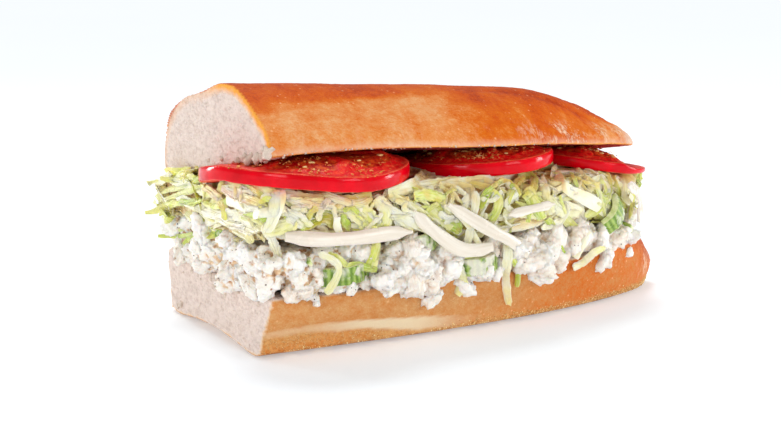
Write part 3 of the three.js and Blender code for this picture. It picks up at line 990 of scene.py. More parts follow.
def wander(surface, start, heading, length, lift, curl):
    """A line of length millimetres over a surface, and the direction away from it."""
    place, points, ups = Vector(start), [], []
    count = ALONG_STEPS + 1
    pace = length * MM / (count - 1)
    for index in range(count):
        foot, normal, _, _ = surface.find_nearest(place)
        share = index / (count - 1)
        ends = abs(2 * share - 1) ** 3
        raised = lift[0] + lift[1] * ends
        if normal.z > 0.55:
            raised = min(raised, -0.5)
        points.append(foot + normal * raised * MM)
        ups.append(normal)
        heading = (heading - normal * heading.dot(normal)).normalized()
        heading.rotate(Matrix.Rotation(curl * (1 + math.sin(share * 7)), 3, normal))
        place = foot + heading * pace
    return smooth_line(points[::2], count), np.array([tuple(up) for up in ups])


CUT_END_SHARE = 0.16
LEAF_SHARE = 0.62


def loose_strip(lift_low, lift_high, ends_high):
    """A random shred anywhere on the lettuce heap, mostly lying along its sides."""
    weight = face_area * (0.35 + (face_normal[:, 2] < 0.6)) * (face_normal[:, 2] > -0.5)
    weight = weight * np.where(face_normal[:, 0] < -0.6, CUT_END_SHARE, 1.0)
    face = dice.choice(len(weight), p=weight / weight.sum())
    normal = Vector(face_normal[face])
    level = Vector((-normal.y, normal.x, 0))
    if level.length < 0.2:
        level = Vector((1, 0, 0))
    heading = level.normalized()
    heading.rotate(Matrix.Rotation(dice.normal(0, 0.75), 3, normal))
    lift = dice.uniform(lift_low, lift_high), dice.uniform(0, ends_high)
    length, curl = dice.uniform(16, 42), dice.normal(0, 0.045)
    line, ups = wander(lettuce_surface, face_middle[face], heading, length, lift, curl)
    rib = dice.random() > LEAF_SHARE
    tint = dice.uniform(0.02, 0.15) if rib else float(np.clip(dice.normal(0.46, 0.18), 0.2, 0.95))
    shape = {
        "twist": dice.normal(0, 0.8), "lean": dice.normal(0, 0.4), "cup": dice.uniform(-0.12, 0.16),
        **ruffles(rib, (0.04, 0.13), (9, 24), (0.2, 1.0), (0.03, 0.12)),
    }
    width = dice.uniform(1.8, 3.4) if rib else dice.uniform(2.2, 4.4)
    return line, ups, width, dice.uniform(0.6, 1.0) if rib else LEAF_THICK, tint, shape


# %% Build the shreds
HIDDEN_SHREDS = 330
SHOWN_SHREDS = 170
FINE_SHREDS = 110
FINE_FROM, FINE_TO = 232, 618
FINE_ACROSS = [230, 300, 370, 420, 500, 570, 618]
FINE_TOP = [186, 199, 204, 190, 180, 168, 174]
FINE_BOTTOM = [222, 218, 226, 222, 226, 208, 206]
NEAR_SIDE, FAR_SIDE = -18, 46.5
TOP_OF_FRONT = 56


def in_front(line):
    """Whether a shred lies where the shreds placed by sight are."""
    middle = line[len(line) // 2]
    return middle[1] < NEAR_SIDE * MM and middle[2] < TOP_OF_FRONT * MM


def fine_strip():
    """A thin random shred in front, across a strip of the picture where the lettuce is."""
    across = dice.uniform(FINE_FROM, FINE_TO)
    top = np.interp(across, FINE_ACROSS, FINE_TOP)
    bottom = np.interp(across, FINE_ACROSS, FINE_BOTTOM)
    down = dice.uniform(top, bottom)
    angle, length = dice.normal(0.35, 0.75), dice.uniform(14, 34)
    turn = dice.normal(0, 0.4)
    steps = np.array([[math.cos(angle - turn), math.sin(angle - turn)], [0, 0],
                      [-math.cos(angle + turn), -math.sin(angle + turn)]])
    places = [(across + length / 2 * a, np.clip(down + length / 2 * d, top - 2, bottom + 4))
              for a, d in steps]
    tint = float(np.clip(dice.normal(0.34, 0.2), 0.17, 0.9))
    return front_strip(tint, dice.uniform(0.8, 1.9), dice.uniform(0.6, 2.2), places)


shreds = [front_strip(*row) for row in FRONT_SHREDS]
shreds += [fine_strip() for _ in range(FINE_SHREDS)]
hidden = [loose_strip(-2.0, 0.3, 0.8) for _ in range(HIDDEN_SHREDS)]
for _ in range(SHOWN_SHREDS):
    shred = loose_strip(-0.6, 1.2, 3.0)
    if not in_front(shred[0]):
        shreds.append(shred)
for shred in shreds + hidden:
    shred[0][:, 1] = np.minimum(shred[0][:, 1], FAR_SIDE * MM)
ribs = [shred for shred in shreds if shred[4] < RIB_TINT]
leaves = [shred for shred in shreds if shred[4] >= RIB_TINT]
print(len(ribs), "ribs,", len(leaves), "leaf pieces and", len(hidden), "shreds below them")

# %% [markdown]
# The finish of a shred mixes white, cream, green and olive by its tint, with veins along it and a
# paler, clearer end. Lettuce is full of water, so light runs through it: subsurface light with a
# radius of about a millimetre, and a fairly sharp wet reflection.

# %% Lettuce finish
def veins_of(f, scale):
    """Noise that is slow along a strip and quick across it, and differs from strip to strip."""
    inputs = {"X": f.times(f.value("along"), 3.0)}
    inputs["Y"] = f.times(f.value("across"), 2.6)
    inputs["Z"] = f.times(f.value("seed"), 40.0)
    inputs = {"Vector": f.node("ShaderNodeCombineXYZ", inputs).outputs[0], "Scale": scale}
    return f.node("ShaderNodeTexNoise", {**inputs, "Detail": 2.0}).outputs[0]


def lettuce_finish(name, vein_depth):
    f = Finish(name, glow=(0.8, 0.7, 0.45), Subsurface_Weight=0.6, Specular_IOR_Level=0.35)
    spread = f.patches(4, 3, 0.3, 0.7, -0.13, 0.13)
    tint = f.add(f.value("tint"), spread, f.remap(f.value("along"), 0, 1, -0.07, 0.07))
    colour = f.ramp(tint, [
        (0.0, 249, 243, 224),
        (0.24, 247, 240, 200),
        (0.45, 241, 235, 156),
        (0.62, 218, 225, 108),
        (0.80, 176, 203, 76),
        (1.0, 184, 176, 60),
    ])
    lines = f.remap(veins_of(f, 1.0), 0.42, 0.6)
    colour = f.mix(f.times(lines, 0.3), colour, rgb(252, 246, 214))
    golden = f.mix(f.noise(3, 2), rgb(220, 160, 62), rgb(255, 226, 136))
    colour = f.mix(f.value("shade"), colour, golden)
    rough = f.patches(2, 2, 0.3, 0.7, 0.22, 0.42)
    height = f.add(f.times(lines, 0.8), f.noise(1.2, 3))
    return f.set(Base_Color=colour, Roughness=rough, Normal=f.bump(height, vein_depth, 0.7))


SLICES_FALL = 0.055


def shade_by_depth(mesh):
    """Marks where the light turns golden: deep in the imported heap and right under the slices."""
    points, depth = points_of(mesh), []
    for point in points:
        foot, normal, _, _ = lettuce_surface.find_nearest(point)
        depth.append((foot - Vector(point)).dot(normal) / MM)
    height = points[:, 2] / MM + SLICES_FALL * (points[:, 0] - CUT_X) / MM
    under_slices = step(height, 46.5, 52) * step(clouds(points, 6, 2, 50.0), -0.2, 0.15)
    deep = step(np.array(depth), -0.6, 2.4)
    keep_values(mesh, shade=np.maximum(0.8 * deep, 0.6 * under_slices))
    return mesh


leaf = lettuce_finish("lettuce_leaf", 0.25)
leaf_mesh = shade_by_depth(strips_mesh(leaves, strip_unit))
finish_piece("lettuce_leaf_shreds", leaf_mesh, [leaf], ["shredded_lettuce"])
lower_mesh = shade_by_depth(strips_mesh(hidden, flat_strip(ALONG_STEPS // 2, 2)))
finish_piece("lettuce_lower_shreds", lower_mesh, [leaf])
rib_mesh = shade_by_depth(strips_mesh(ribs, strip_unit))
finish_piece("lettuce_rib_shreds", rib_mesh, [lettuce_finish("lettuce_rib", 0.12)])

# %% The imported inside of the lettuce
CORE_SQUARE = 1.6


def shrunken(node, inward, lumps):
    """A copy of a packed heap drawn inwards, with lumps, to close the gaps between the pieces."""
    mesh = rounded_copy(node, CORE_SQUARE, 1)
    points, normals = points_and_normals(mesh)
    move_points(mesh, pushed(points, normals, lumps * clouds(points, 6, 3, 2.0) - inward))
    return mesh


# The core runs from cream lettuce to a golden brown that is painted shade and light through the
# leaves, seen in the gaps between the shreds.
f = Finish("inner_lettuce", glow=(1.5, 1.0, 0.4), Subsurface_Weight=0.3, Roughness=0.5)
colour = f.ramp(f.noise(3.5, 4, 0.6, 0.8, (2.2, 1, 1)), [
    (0.32, 196, 148, 84),
    (0.46, 222, 190, 132),
    (0.58, 238, 220, 172),
    (0.7, 250, 238, 208),
])
f.set(Base_Color=colour, Normal=f.bump(f.noise(2.5, 4, 0.6, 0.6, (2, 1, 1)), 1.2, 0.8))
finish_piece("inner_lettuce", shrunken("shredded_lettuce", 1.9, 0.9), [f.material])

# %% [markdown]
# ## Chicken salad
# The salad is torn chicken in a thick white dressing. Each piece of chicken is a block that was
# pulled apart along its fibres, so a chunk is made as a ball, flattened by a few random planes,
# and stretched along one direction. Hundreds of chunks lie half sunk in the surface of the packed
# heap, and a voxel remesh melts them and the heap's core into one body, as the dressing does.

# %% Chunks placed by sight
# Each is the picture point of its middle and its radius in millimetres, and for some also how far
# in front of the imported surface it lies.
FRONT_CHUNKS = [
    (177, 222, 3.6), (188, 219, 3.4), (183, 252, 3.0), (203, 247, 3.6), (214, 253, 3.8),
    (236, 240, 4.6), (241, 253, 4.4), (257, 262, 4.4), (240, 277, 5.2), (254, 285, 5.0),
    (268, 280, 4.6), (273, 262, 3.8), (293, 262, 3.6), (300, 278, 4.4), (303, 290, 4.2),
    (296, 296, 2.4), (314, 297, 1.8), (322, 250, 3.2), (345, 252, 3.0), (361, 251, 3.2),
    (392, 250, 4.2), (398, 268, 5.6), (409, 280, 4.6), (392, 283, 4.2), (420, 262, 4.2),
    (430, 277, 4.4), (430, 291, 3.6), (447, 267, 3.8), (446, 256, 3.2), (462, 284, 3.2),
    (484, 268, 3.2), (476, 273, 2.6), (512, 228, 4.4), (528, 236, 5.4), (545, 230, 4.8),
    (540, 252, 5.4), (527, 262, 4.2), (540, 268, 4.6), (556, 258, 4.0), (515, 250, 4.2),
    (552, 243, 4.2), (572, 228, 3.6), (585, 226, 3.6), (575, 240, 3.2), (602, 235, 4.0),
    (600, 262, 3.2), (607, 257, 2.6), (616, 238, 3.8), (628, 240, 3.2), (629, 252, 2.2),
    (590, 212, 3.2), (605, 226, 3.0), (538, 276, 2.0), (431, 298, 1.8), (315, 303, 1.1),
    (414, 246, 3.0, 3.6), (422, 255, 2.6, 3.0), (448, 251, 2.8, 2.4), (486, 269, 2.4, 2.6),
    (338, 287, 2.2, -1.5), (352, 285, 2.2, -1.5), (366, 283, 2.2, -1.5), (380, 281, 2.6, -1.0),
    (472, 276, 2.2, -1.0), (498, 270, 2.4, -1.0),
]
SHALLOW_RADIUS = 2.6
FRONT_SWELL = 1.3
SCATTERED_CHUNKS = 300
CHUNK_PLANES = 7

salad_mesh = nodes["chicken_salad"].data
salad_and_heel = surface_of("chicken_salad", "bread_heel")


def ball(detail):
    """A unit ball of triangles as a mesh."""
    bm = bmesh.new()
    bmesh.ops.create_icosphere(bm, subdivisions=detail, radius=1)
    return mesh_from(bm, "ball")


def random_turn():
    """A random rotation as three rows."""
    axes, _ = np.linalg.qr(dice.normal(size=(3, 3)))
    return axes


def torn_block(unit_points, radius):
    """A ball cut flat by random planes and pulled along its fibres, and its own directions."""
    block = unit_points.copy()
    for _ in range(CHUNK_PLANES):
        plane = dice.normal(size=3)
        plane /= np.linalg.norm(plane)
        over = np.maximum(block @ plane - dice.uniform(0.4, 0.78), 0)
        block -= over[:, None] * plane
    turn = random_turn()
    stretch = np.array([1.35, dice.uniform(0.75, 1.0), dice.uniform(0.7, 0.95)])
    return (block * stretch * radius * MM) @ turn, turn


chunk_centres, chunk_turns, chunk_blocks = [], [], []
chunk_unit = ball(3)
ball_points = points_of(chunk_unit)


def add_chunk(centre, radius):
    block, turn = torn_block(ball_points, radius)
    chunk_centres.append(centre)
    chunk_turns.append(turn)
    chunk_blocks.append(block + centre)


for across, down, radius, *forward in FRONT_CHUNKS:
    centre = on_surface(salad_and_heel, [(across, down)], sum(forward))[0]
    sunk = (radius - SHALLOW_RADIUS) * 0.8 * MM
    add_chunk(centre + view_ahead * sunk, radius * FRONT_SWELL)

centres = np.array([p.center for p in salad_mesh.polygons])
outward = np.array([p.normal for p in salad_mesh.polygons])
weight = np.array([p.area for p in salad_mesh.polygons]) * (0.25 + (np.abs(outward[:, 2]) < 0.6))
# no loose chunks where the heap lies against the heel
weight[(centres[:, 1] < -24 * MM) & (centres[:, 2] < 24 * MM)] = 0
weight[(centres[:, 1] > 32 * MM) & (centres[:, 0] < CUT_X + 6 * MM)] = 0
weight[(centres[:, 1] > 26 * MM) & (centres[:, 2] < 23 * MM)] = 0
for face in dice.choice(len(weight), SCATTERED_CHUNKS, p=weight / weight.sum()):
    radius = dice.uniform(2.8, 6.2)
    add_chunk(centres[face] - outward[face] * radius * dice.uniform(0.55, 0.95) * MM, radius)
print(len(chunk_blocks), "chunks of chicken")

# %% Melt the chunks together
SALAD_SQUARE = 0.73
RELAXING = 0.7
joined = bmesh.new()
joined.from_mesh(copies_of(chunk_unit, chunk_blocks))
joined.from_mesh(shrunken("chicken_salad", 1.5, 1.1))
salad = evaluated(mesh_from(joined, "melted"), squares(SALAD_SQUARE))
print("salad:", len(salad.vertices), "vertices")


def relaxed(mesh, points, rounds):
    """The points after rounds of moving each one to the middle of its neighbours."""
    ends = np.zeros(len(mesh.edges) * 2, int)
    mesh.edges.foreach_get("vertices", ends)
    first, second = ends.reshape(-1, 2).T
    count = np.bincount(ends, minlength=len(points))[:, None]
    for _ in range(rounds):
        total = np.stack([
            np.bincount(first, points[second, axis], len(points))
            + np.bincount(second, points[first, axis], len(points)) for axis in range(3)], 1)
        points = (1 - RELAXING) * points + RELAXING * total / count
    return points


def hollowness(mesh, rounds):
    """How far each point lies below its smoothed surroundings, in millimetres."""
    points = points_of(mesh)
    return ((relaxed(mesh, points, rounds) - points) * points_of(mesh, "normal")).sum(1) / MM


# %% Fibres, dressing and hollows
points, normals = points_and_normals(salad)
centre_tree = tree_of(chunk_centres)
nearest = np.array([centre_tree.find(point)[1] for point in points])
offsets = points - np.array(chunk_centres)[nearest]
fibre_space = np.einsum("nij,nj->ni", np.array(chunk_turns)[nearest], offsets) / MM
fibre_space += nearest[:, None] * 7.3
dressing = step(clouds(points, 7, 2, 11.0), -0.15, 0.35)
threads = 0.5 - np.abs(clouds(fibre_space * MM, 1.2, 3, 0.0, (4.0, 1, 1)))
lumps = clouds(points, 1.5, 4, 4.0)
puffs = np.abs(clouds(points, 4.2, 3, 21.0)) - 0.3
rise = threads * (1.15 - 0.5 * dressing) + lumps * 0.75 + puffs * 1.0
moved = pushed(points, normals, rise)
moved[:, 1] -= 0.75 * np.maximum(moved[:, 1] - FAR_SIDE * MM, 0)
move_points(salad, moved)
# hollow drives painted brown shade in the crevices, stronger near the cut end, where random brown
# patches are added to it too
hollow = 0.4 * hollowness(salad, 5) + hollowness(salad, 14) + 0.45 * hollowness(salad, 60)
bare = 1 - step(points[:, 0] / MM, -72, -46)
hollow = hollow * (0.35 + 0.85 * bare) + 0.5 * bare * step(clouds(points, 5, 3, 60.0), 0.08, 0.3)
tone = dice.random(len(chunk_centres))[nearest]
keep_values(salad, hollow=hollow, dressing=dressing, tone=tone)
layer = salad.attributes.new("fibre", "FLOAT_VECTOR", "POINT")
layer.data.foreach_set("vector", fibre_space.astype(np.float32).ravel())
print("hollowness in mm, 5 and 95 percent:", np.percentile(hollow, [5, 95]).round(2))

# %% Salad finish
f = Finish("chicken_salad", glow=(1.4, 1.15, 0.9), Subsurface_Weight=0.5, Specular_IOR_Level=0.4)
fibre_at = f.node("ShaderNodeAttribute", attribute_name="fibre").outputs["Vector"]
drawn = f.node("ShaderNodeMapping", {"Vector": fibre_at, "Scale": (0.22, 1.5, 1.5)}).outputs[0]
threads = f.node("ShaderNodeTexNoise", {"Vector": drawn, "Scale": 1.0, "Detail": 4.0}).outputs[0]
meat = f.add(f.times(f.value("tone"), 0.35), f.times(threads, 0.65))
meat = f.ramp(meat, [(0.28, 244, 222, 202), (0.46, 254, 241, 229), (0.7, 255, 250, 244)])
sauce = f.mix(f.patches(2.4, 4, 0.35, 0.65), rgb(254, 245, 235), rgb(255, 250, 243))
colour = f.mix(f.remap(f.value("dressing"), 0, 1, 0.25, 0.85), meat, sauce)
# Painted shade: hollows turn brown, and so do the random patches near the cut end.
deep = f.remap(f.add(f.value("hollow"), f.patches(1.6, 3, 0.3, 0.7, -0.25, 0.25)), 0.06, 0.85)
shade_and_patch_brown = f.ramp(f.noise(3.5, 3), [(0.36, 180, 114, 62), (0.56, 244, 214, 174)])
colour = f.mix(deep, colour, shade_and_patch_brown)
dust = f.times(f.dots(1.35, 0.05, 0.12), f.patches(3.4, 2, 0.44, 0.54))
colour = f.mix(f.times(dust, 0.45), colour, rgb(92, 66, 52))
rough = f.remap(f.value("dressing"), 0, 1, 0.5, 0.3)
height = f.add(f.times(threads, 0.8), f.times(f.noise(0.9, 4), 0.7))
f.set(Base_Color=colour, Roughness=rough, Normal=f.bump(height, 0.6, 0.9))
finish_piece("chicken_and_dressing", salad, [f.material], ["chicken_salad"])

# %% [markdown]
# Coarsely ground pepper is real specks of about half a millimetre, so each is a small lump of its
# own, half sunk in the dressing. It lies in drifts, as if shaken on, and not in the deep gaps.

# %% Ground pepper on the salad
PEPPER_SPECKS = 700
PEPPER_LOW, PEPPER_HIGH = 15, 42


def sprinkle(unit, places, outward, low, high, flat):
    """One mesh of copies of a small lump at places, turned at random and half sunk."""
    unit_points, blocks = points_of(unit), []
    for place, away in zip(places, outward):
        size = dice.uniform(low, high) * MM
        block = (unit_points * dice.uniform(flat, 1.0, 3) * size) @ random_turn()
        blocks.append(block + place + away * size * 0.15)
    return copies_of(unit, blocks)


points, normals = points_and_normals(salad)
height = points[:, 2] / MM
outer = np.nonzero((hollow < 0.5) & (height > PEPPER_LOW) & (height < PEPPER_HIGH)
                   & (clouds(points, 12, 2, 30.0) > -0.25))[0]
chosen = dice.choice(outer, PEPPER_SPECKS, replace=False)
speck_unit = ball(1)
pepper = sprinkle(speck_unit, points[chosen], normals[chosen], 0.13, 0.36, 0.5)
f = Finish("ground_pepper", Roughness=0.7)
f.set(Base_Color=f.ramp(f.noise(0.7, 2), [(0.4, 38, 26, 22), (0.62, 112, 82, 62)]),
      Normal=f.bump(f.noise(0.2, 2), 0.1, 0.8))
finish_piece("pepper_specks", pepper, [f.material])

# %% [markdown]
# ## Celery
# A slice across a celery stalk is a crescent. Its rounded side is ribbed, with dark green grooves
# that run straight through the slice, and its cut faces are pale, wet and glassy. The packed
# crescents are rounded and remeshed, and a value around the curve makes the ribs.

# %% Celery slices
CELERY = [  # node, middle in mm from the cut, turns in degrees, size in mm, dressing on it
    ("celery_slice_1", (23, -44.6, 26.2), (0, 3, 181), 19, 0.0),
    ("celery_slice_2", (51, -45.6, 33.6), (0, 12, 188), 9.5, 0.04),
    ("celery_slice_3", (73, -43.2, 24.0), (0, 5, 186), 15, 0.19),
    ("celery_slice_4", (133.6, -30.4, 33.2), (0, 48, 208), 13.5, 0.05),
    ("celery_slice_5", (0.6, -7.5, 35.2), (0, -4, 92), 15, 0.04),
]
RIB_SPACING = 1.9


def celery_finish():
    f = Finish("celery", glow=(0.9, 1.2, 0.5), Subsurface_Weight=0.35)
    ribs = f.add(f.times(f.value("rib"), 0.8), f.patches(2, 3, 0.3, 0.7, -0.15, 0.2))
    skin = f.ramp(ribs, [(0.1, 104, 138, 36), (0.45, 136, 166, 62), (0.9, 172, 194, 100)])
    flesh = f.mix(f.patches(2.2, 3, 0.35, 0.65), rgb(196, 208, 132), rgb(232, 234, 190))
    colour = f.mix(f.remap(f.value("skin"), 0.2, 0.8), flesh, skin)
    coat = f.remap(f.add(f.noise(5, 3, 0.5, 0.3), f.value("coat")), 0.58, 0.70)
    colour = f.mix(f.times(coat, 0.75), colour, rgb(240, 234, 222))
    return f.set(Base_Color=colour, Roughness=f.patches(2, 2, 0.3, 0.7, 0.2, 0.38),
                 Normal=f.bump(f.add(f.noise(0.8, 3), coat), 0.2, 0.6))


celery_material = celery_finish()
for name, centre, turns, size, coat in CELERY:
    mesh = rounded_copy(name, 0.36)
    points, normals = points_and_normals(mesh)
    turn = np.eye(3)
    for axis, angle in zip("XYZ", turns):
        turn = np.array(Matrix.Rotation(math.radians(angle), 3, axis)) @ turn
    local = (points / MM - np.array(centre) - [CUT_X / MM, 0, 0]) @ turn
    local_normal = normals @ turn
    skin = step(local_normal[:, 1], 0.2, 0.7) * (1 - step(np.abs(local_normal[:, 2]), 0.6, 0.9))
    bow = np.arctan2(local[:, 0], local[:, 1] + 0.45 * size) * 0.62 * size
    rib = 0.5 + 0.5 * np.cos(bow / RIB_SPACING * 2 * math.pi)
    rise = skin * 0.16 * (rib - 0.5) + 0.12 * clouds(points, 2.5, 2, 3.0)
    move_points(mesh, pushed(points, normals, rise))
    keep_values(mesh, skin=skin, rib=rib, coat=np.full(len(points), coat))
    finish_piece(name.replace("_slice", "_crescent"), mesh, [celery_material], [name])

# %% Celery dice in the salad
# Smaller dice lie half buried in the dressing: a bevelled cube, squeezed, with bevelled corners.
FRONT_DICE = [(224, 230, 2.6), (214, 235, 2.0), (211, 252, 1.6), (436, 248, 2.0), (568, 227, 1.6),
              (493, 266, 2.0), (487, 272, 1.8), (225, 289, 0.9), (372, 253, 1.4), (310, 262, 1.2)]
SCATTERED_DICE = 34


def die():
    """A cube with rounded edges, 2 across, cut into small squares."""
    bm = bmesh.new()
    bmesh.ops.create_cube(bm, size=2)
    bmesh.ops.bevel(bm, geom=bm.edges[:], offset=0.32, segments=2, profile=0.5,
                    affect="EDGES", material=-1)
    bmesh.ops.subdivide_edges(bm, edges=bm.edges[:], cuts=1, use_grid_fill=True)
    return mesh_from(bm, "die")


die_unit = die()
die_points = points_of(die_unit)
places = [(on_surface(salad_and_heel, [(a, d)], 0.4)[0], r) for a, d, r in FRONT_DICE]
for face in dice.choice(len(weight), SCATTERED_DICE, p=weight / weight.sum()):
    places.append((centres[face] - outward[face] * 0.6 * MM, dice.uniform(1.2, 2.4)))
blocks = []
for place, radius in places:
    shape = die_points * dice.uniform(0.55, 1.0, 3) * radius * MM
    shape *= (1 + 0.12 * clouds(shape + place, 2.5, 2))[:, None]
    blocks.append(shape @ random_turn() + place)
dice_mesh = copies_of(die_unit, blocks)
keep_values(dice_mesh, skin=np.tile(np.clip(die_points[:, 2] - 0.2, 0, 1), len(places)),
            rib=np.tile(0.5 + 0.5 * np.sin(die_points[:, 0] * 6), len(places)))
finish_piece("celery_dice", dice_mesh, [celery_material])

# %% [markdown]
# ## Onion
# Onion strips are cut from the layers of an onion: long, smooth, nearly clear ribbons that keep
# the bow of the bulb, with fine lines along them and a faint purple edge on some. They follow the
# packed strips, so each is bent along the same line.

# %% Onion strips
ONIONS = [  # width, width left at both ends, seed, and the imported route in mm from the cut
    (4.4, (0.7, 0.3), 0.7, [
        (2, -49, 40.5), (13, -50.4, 38.8), (25, -50.5, 38.2), (37, -50, 38.4), (45, -49, 38)]),
    (4.6, (0.35, 0.7), 0.2, [
        (45, -49.4, 44.5), (53, -49.3, 37.2), (62, -48.8, 31.2), (69, -48.2, 29.8),
        (75, -47.4, 30.2)]),
    (4.2, (0.35, 0.65), 0.35, [
        (58, -48.8, 45.5), (66, -48.6, 40.5), (75, -47.9, 35.2), (83, -46.6, 31), (90, -45, 25.8)]),
    (2.9, (0.3, 0.3), 0.5, [(81, -47.4, 39.9), (90, -45.8, 40.7), (101, -43.2, 41.2)]),
    (4.0, (0.4, 0.5), 1.0, [
        (137, -34.6, 43.4), (145, -28.8, 39.8), (151, -22.8, 33.6), (149.6, -23.8, 27.8)]),
]
ONION_STEPS = 44


def onion_finish():
    f = Finish("onion", glow=(1.0, 0.95, 0.9), Subsurface_Weight=0.6)
    lines = veins_of(f, 0.7)
    white = f.mix(f.remap(lines, 0.35, 0.68), rgb(224, 214, 197), rgb(238, 230, 217))
    edge = f.remap(f.math("ABSOLUTE", f.value("across")), 0.72, 1.0)
    purple = f.times(edge, f.remap(f.value("seed"), 0.3, 0.9), 0.35)
    colour = f.mix(purple, white, rgb(214, 186, 214))
    height = f.add(f.times(lines, 0.15), f.times(f.noise(2.5, 2), 0.5))
    return f.set(Base_Color=colour, Roughness=f.patches(3, 2, 0.3, 0.7, 0.16, 0.3),
                 Normal=f.bump(height, 0.06, 0.4))


onion_material = onion_finish()
long_strip = flat_strip(ONION_STEPS, 8)
for index, (width, ends, seed, route) in enumerate(ONIONS):
    line = smooth_line([(CUT_X / MM + x, y, z) for x, y, z in route], ONION_STEPS + 1) * MM
    outwards = np.tile([0.0, -1.0, 0.2], (len(line), 1))
    outwards[:, 0] = 0.5 * step(line[:, 0] / MM, 30, 70)
    shape = {"cup": -0.05, "phase": index * 1.7, "twist": dice.uniform(-0.5, 0.5),
             "taper": ends, "reach": 0.14, "torn": 0.01}
    piece_mesh = strips_mesh([(line, outwards, width * 0.98, 1.0, 0.0, shape)], long_strip)
    keep_values(piece_mesh, seed=np.full(len(piece_mesh.vertices), seed))
    name = f"onion_strip_{index + 1}"
    finish_piece(name.replace("strip", "ribbon"), piece_mesh, [onion_material], [name])

# %% [markdown]
# ## Tomatoes
# A tomato slice has a thin, shiny, deep red skin round a band of firm flesh, and inside that the
# seed pockets: clear jelly with pale seeds. A knife leaves the faces wet and a little uneven, and
# the pockets sink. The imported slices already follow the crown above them, so they are remeshed
# finely, and the distance from the skin and the angle round the middle draw the parts.

# %% Slice and pockets
TOMATO_SQUARE = 0.46
POCKETS = 6
RIM_PARTS = 90
PRESSED_IN = 3.2
THIN_END = 55, 65
THINNER = 0.6


def squared_rim(points):
    """Points near the rim moved outwards, so that the knife-cut edges are crisp."""
    middle = (points.min(0) + points.max(0)) / 2
    across, deep = points[:, 0] - middle[0], points[:, 1] - middle[1]
    reach = np.hypot(across, deep)
    around = np.arctan2(deep, across) / (2 * math.pi) * RIM_PARTS
    part = np.rint(around).astype(int) % RIM_PARTS
    widest = np.zeros(RIM_PARTS)
    np.maximum.at(widest, part, reach)
    outline = np.interp(around, np.arange(RIM_PARTS), widest, period=RIM_PARTS)
    inset = np.maximum(outline - reach, 0) / MM
    wanted = outline - inset * (0.15 + 0.85 * step(inset, 0, 2.2)) * MM
    moved = points.copy()
    moved[:, 0] = middle[0] + across * wanted / reach
    moved[:, 1] = middle[1] + deep * wanted / reach
    return moved


def tomato_slice(name, seed):
    """One slice with its pockets sunk, and the places of its pockets on the upper face."""
    mesh = rounded_copy(name, TOMATO_SQUARE)
    move_points(mesh, squared_rim(points_of(mesh)))
    points, normals = points_and_normals(mesh)
    skin = 1 - step(np.abs(normals[:, 2]), 0.72, 0.93)
    rim = distance_from(points, skin < 0.5, skin >= 0.5)
    low, high = points.min(0), points.max(0)
    middle = (low + high) / 2
    around = np.arctan2(points[:, 1] - middle[1], points[:, 0] - middle[0]) / (2 * math.pi)
    around = around + 0.025 * clouds(points, 9, 2, seed)
    sector = np.abs((around * POCKETS + seed) % 1 - 0.5)
    reach = np.hypot(points[:, 0] - middle[0], points[:, 1] - middle[1]) / MM
    wobble = 0.9 * clouds(points, 6, 2, seed + 5)
    pocket = step(rim + wobble, 5.0, 6.6) * step(reach + wobble, 6.0, 8.0)
    pocket *= 1 - step(sector, 0.33, 0.41)
    relief = -0.75 * pocket + 0.16 * clouds(points, 3, 3, seed) * (1 - skin)
    moved = pushed(points, normals, relief)
    pressed = step(rim, 1.5, 10) * step(normals[:, 2], 0.3, 0.7) * step(points[:, 0] / MM, -90, -70)
    moved[:, 2] += PRESSED_IN * MM * pressed
    under = points[normals[:, 2] < -0.9]
    fit = np.linalg.lstsq(np.c_[under[:, :2], np.ones(len(under))], under[:, 2], rcond=None)[0]
    floor_height = points[:, :2] @ fit[:2] + fit[2]
    thin = THINNER * step(points[:, 0] / MM, *THIN_END)
    moved[:, 2] -= thin * np.maximum(moved[:, 2] - floor_height, 0)
    move_points(mesh, moved)
    keep_values(mesh, skin=skin, rim=rim, pocket=pocket)
    return mesh


# %% Tomato finish
f = Finish("tomato", glow=(2.2, 0.4, 0.25), Subsurface_Weight=0.08, Specular_IOR_Level=0.16)
skin_colour = f.mix(f.patches(7, 3, 0.35, 0.65), rgb(206, 0, 18), rgb(230, 0, 24))
flesh = f.ramp(f.noise(1.8, 4, 0.6, 0.5), [
    (0.3, 200, 0, 14), (0.5, 228, 4, 20), (0.68, 248, 76, 44)])
rim_line = f.remap(f.value("rim"), 0.2, 1.3, 1.0, 0.0)
flesh = f.mix(f.times(rim_line, 0.65), flesh, rgb(240, 110, 72))
veins = f.times(f.remap(f.noise(1.1, 3, 0.6, 0.8), 0.56, 0.66), 0.6)
flesh = f.mix(veins, flesh, rgb(240, 142, 84))
jelly = f.mix(f.patches(2.4, 3, 0.4, 0.62), rgb(176, 0, 12), rgb(232, 92, 34))
flesh = f.mix(f.value("pocket"), flesh, jelly)
colour = f.mix(f.value("skin"), flesh, skin_colour)
cut_face = f.math("SUBTRACT", 1.0, f.value("skin"))
cut_rough = f.times(cut_face, f.patches(1.5, 2, 0.3, 0.7, 0.3, 0.55))
rough = f.add(f.times(f.value("skin"), 0.12), cut_rough)
height = f.times(f.noise(0.9, 4), f.math("SUBTRACT", 1.0, f.times(f.value("skin"), 0.93)))
f.set(Base_Color=colour, Roughness=rough, Normal=f.bump(height, 0.35, 0.7))
for index in range(3):
    name = f"tomato_slice_{index + 1}"
    round_mesh = tomato_slice(name, 2.3 * index + 0.4)
    finish_piece(name.replace("_slice", "_round"), round_mesh, [f.material], [name])

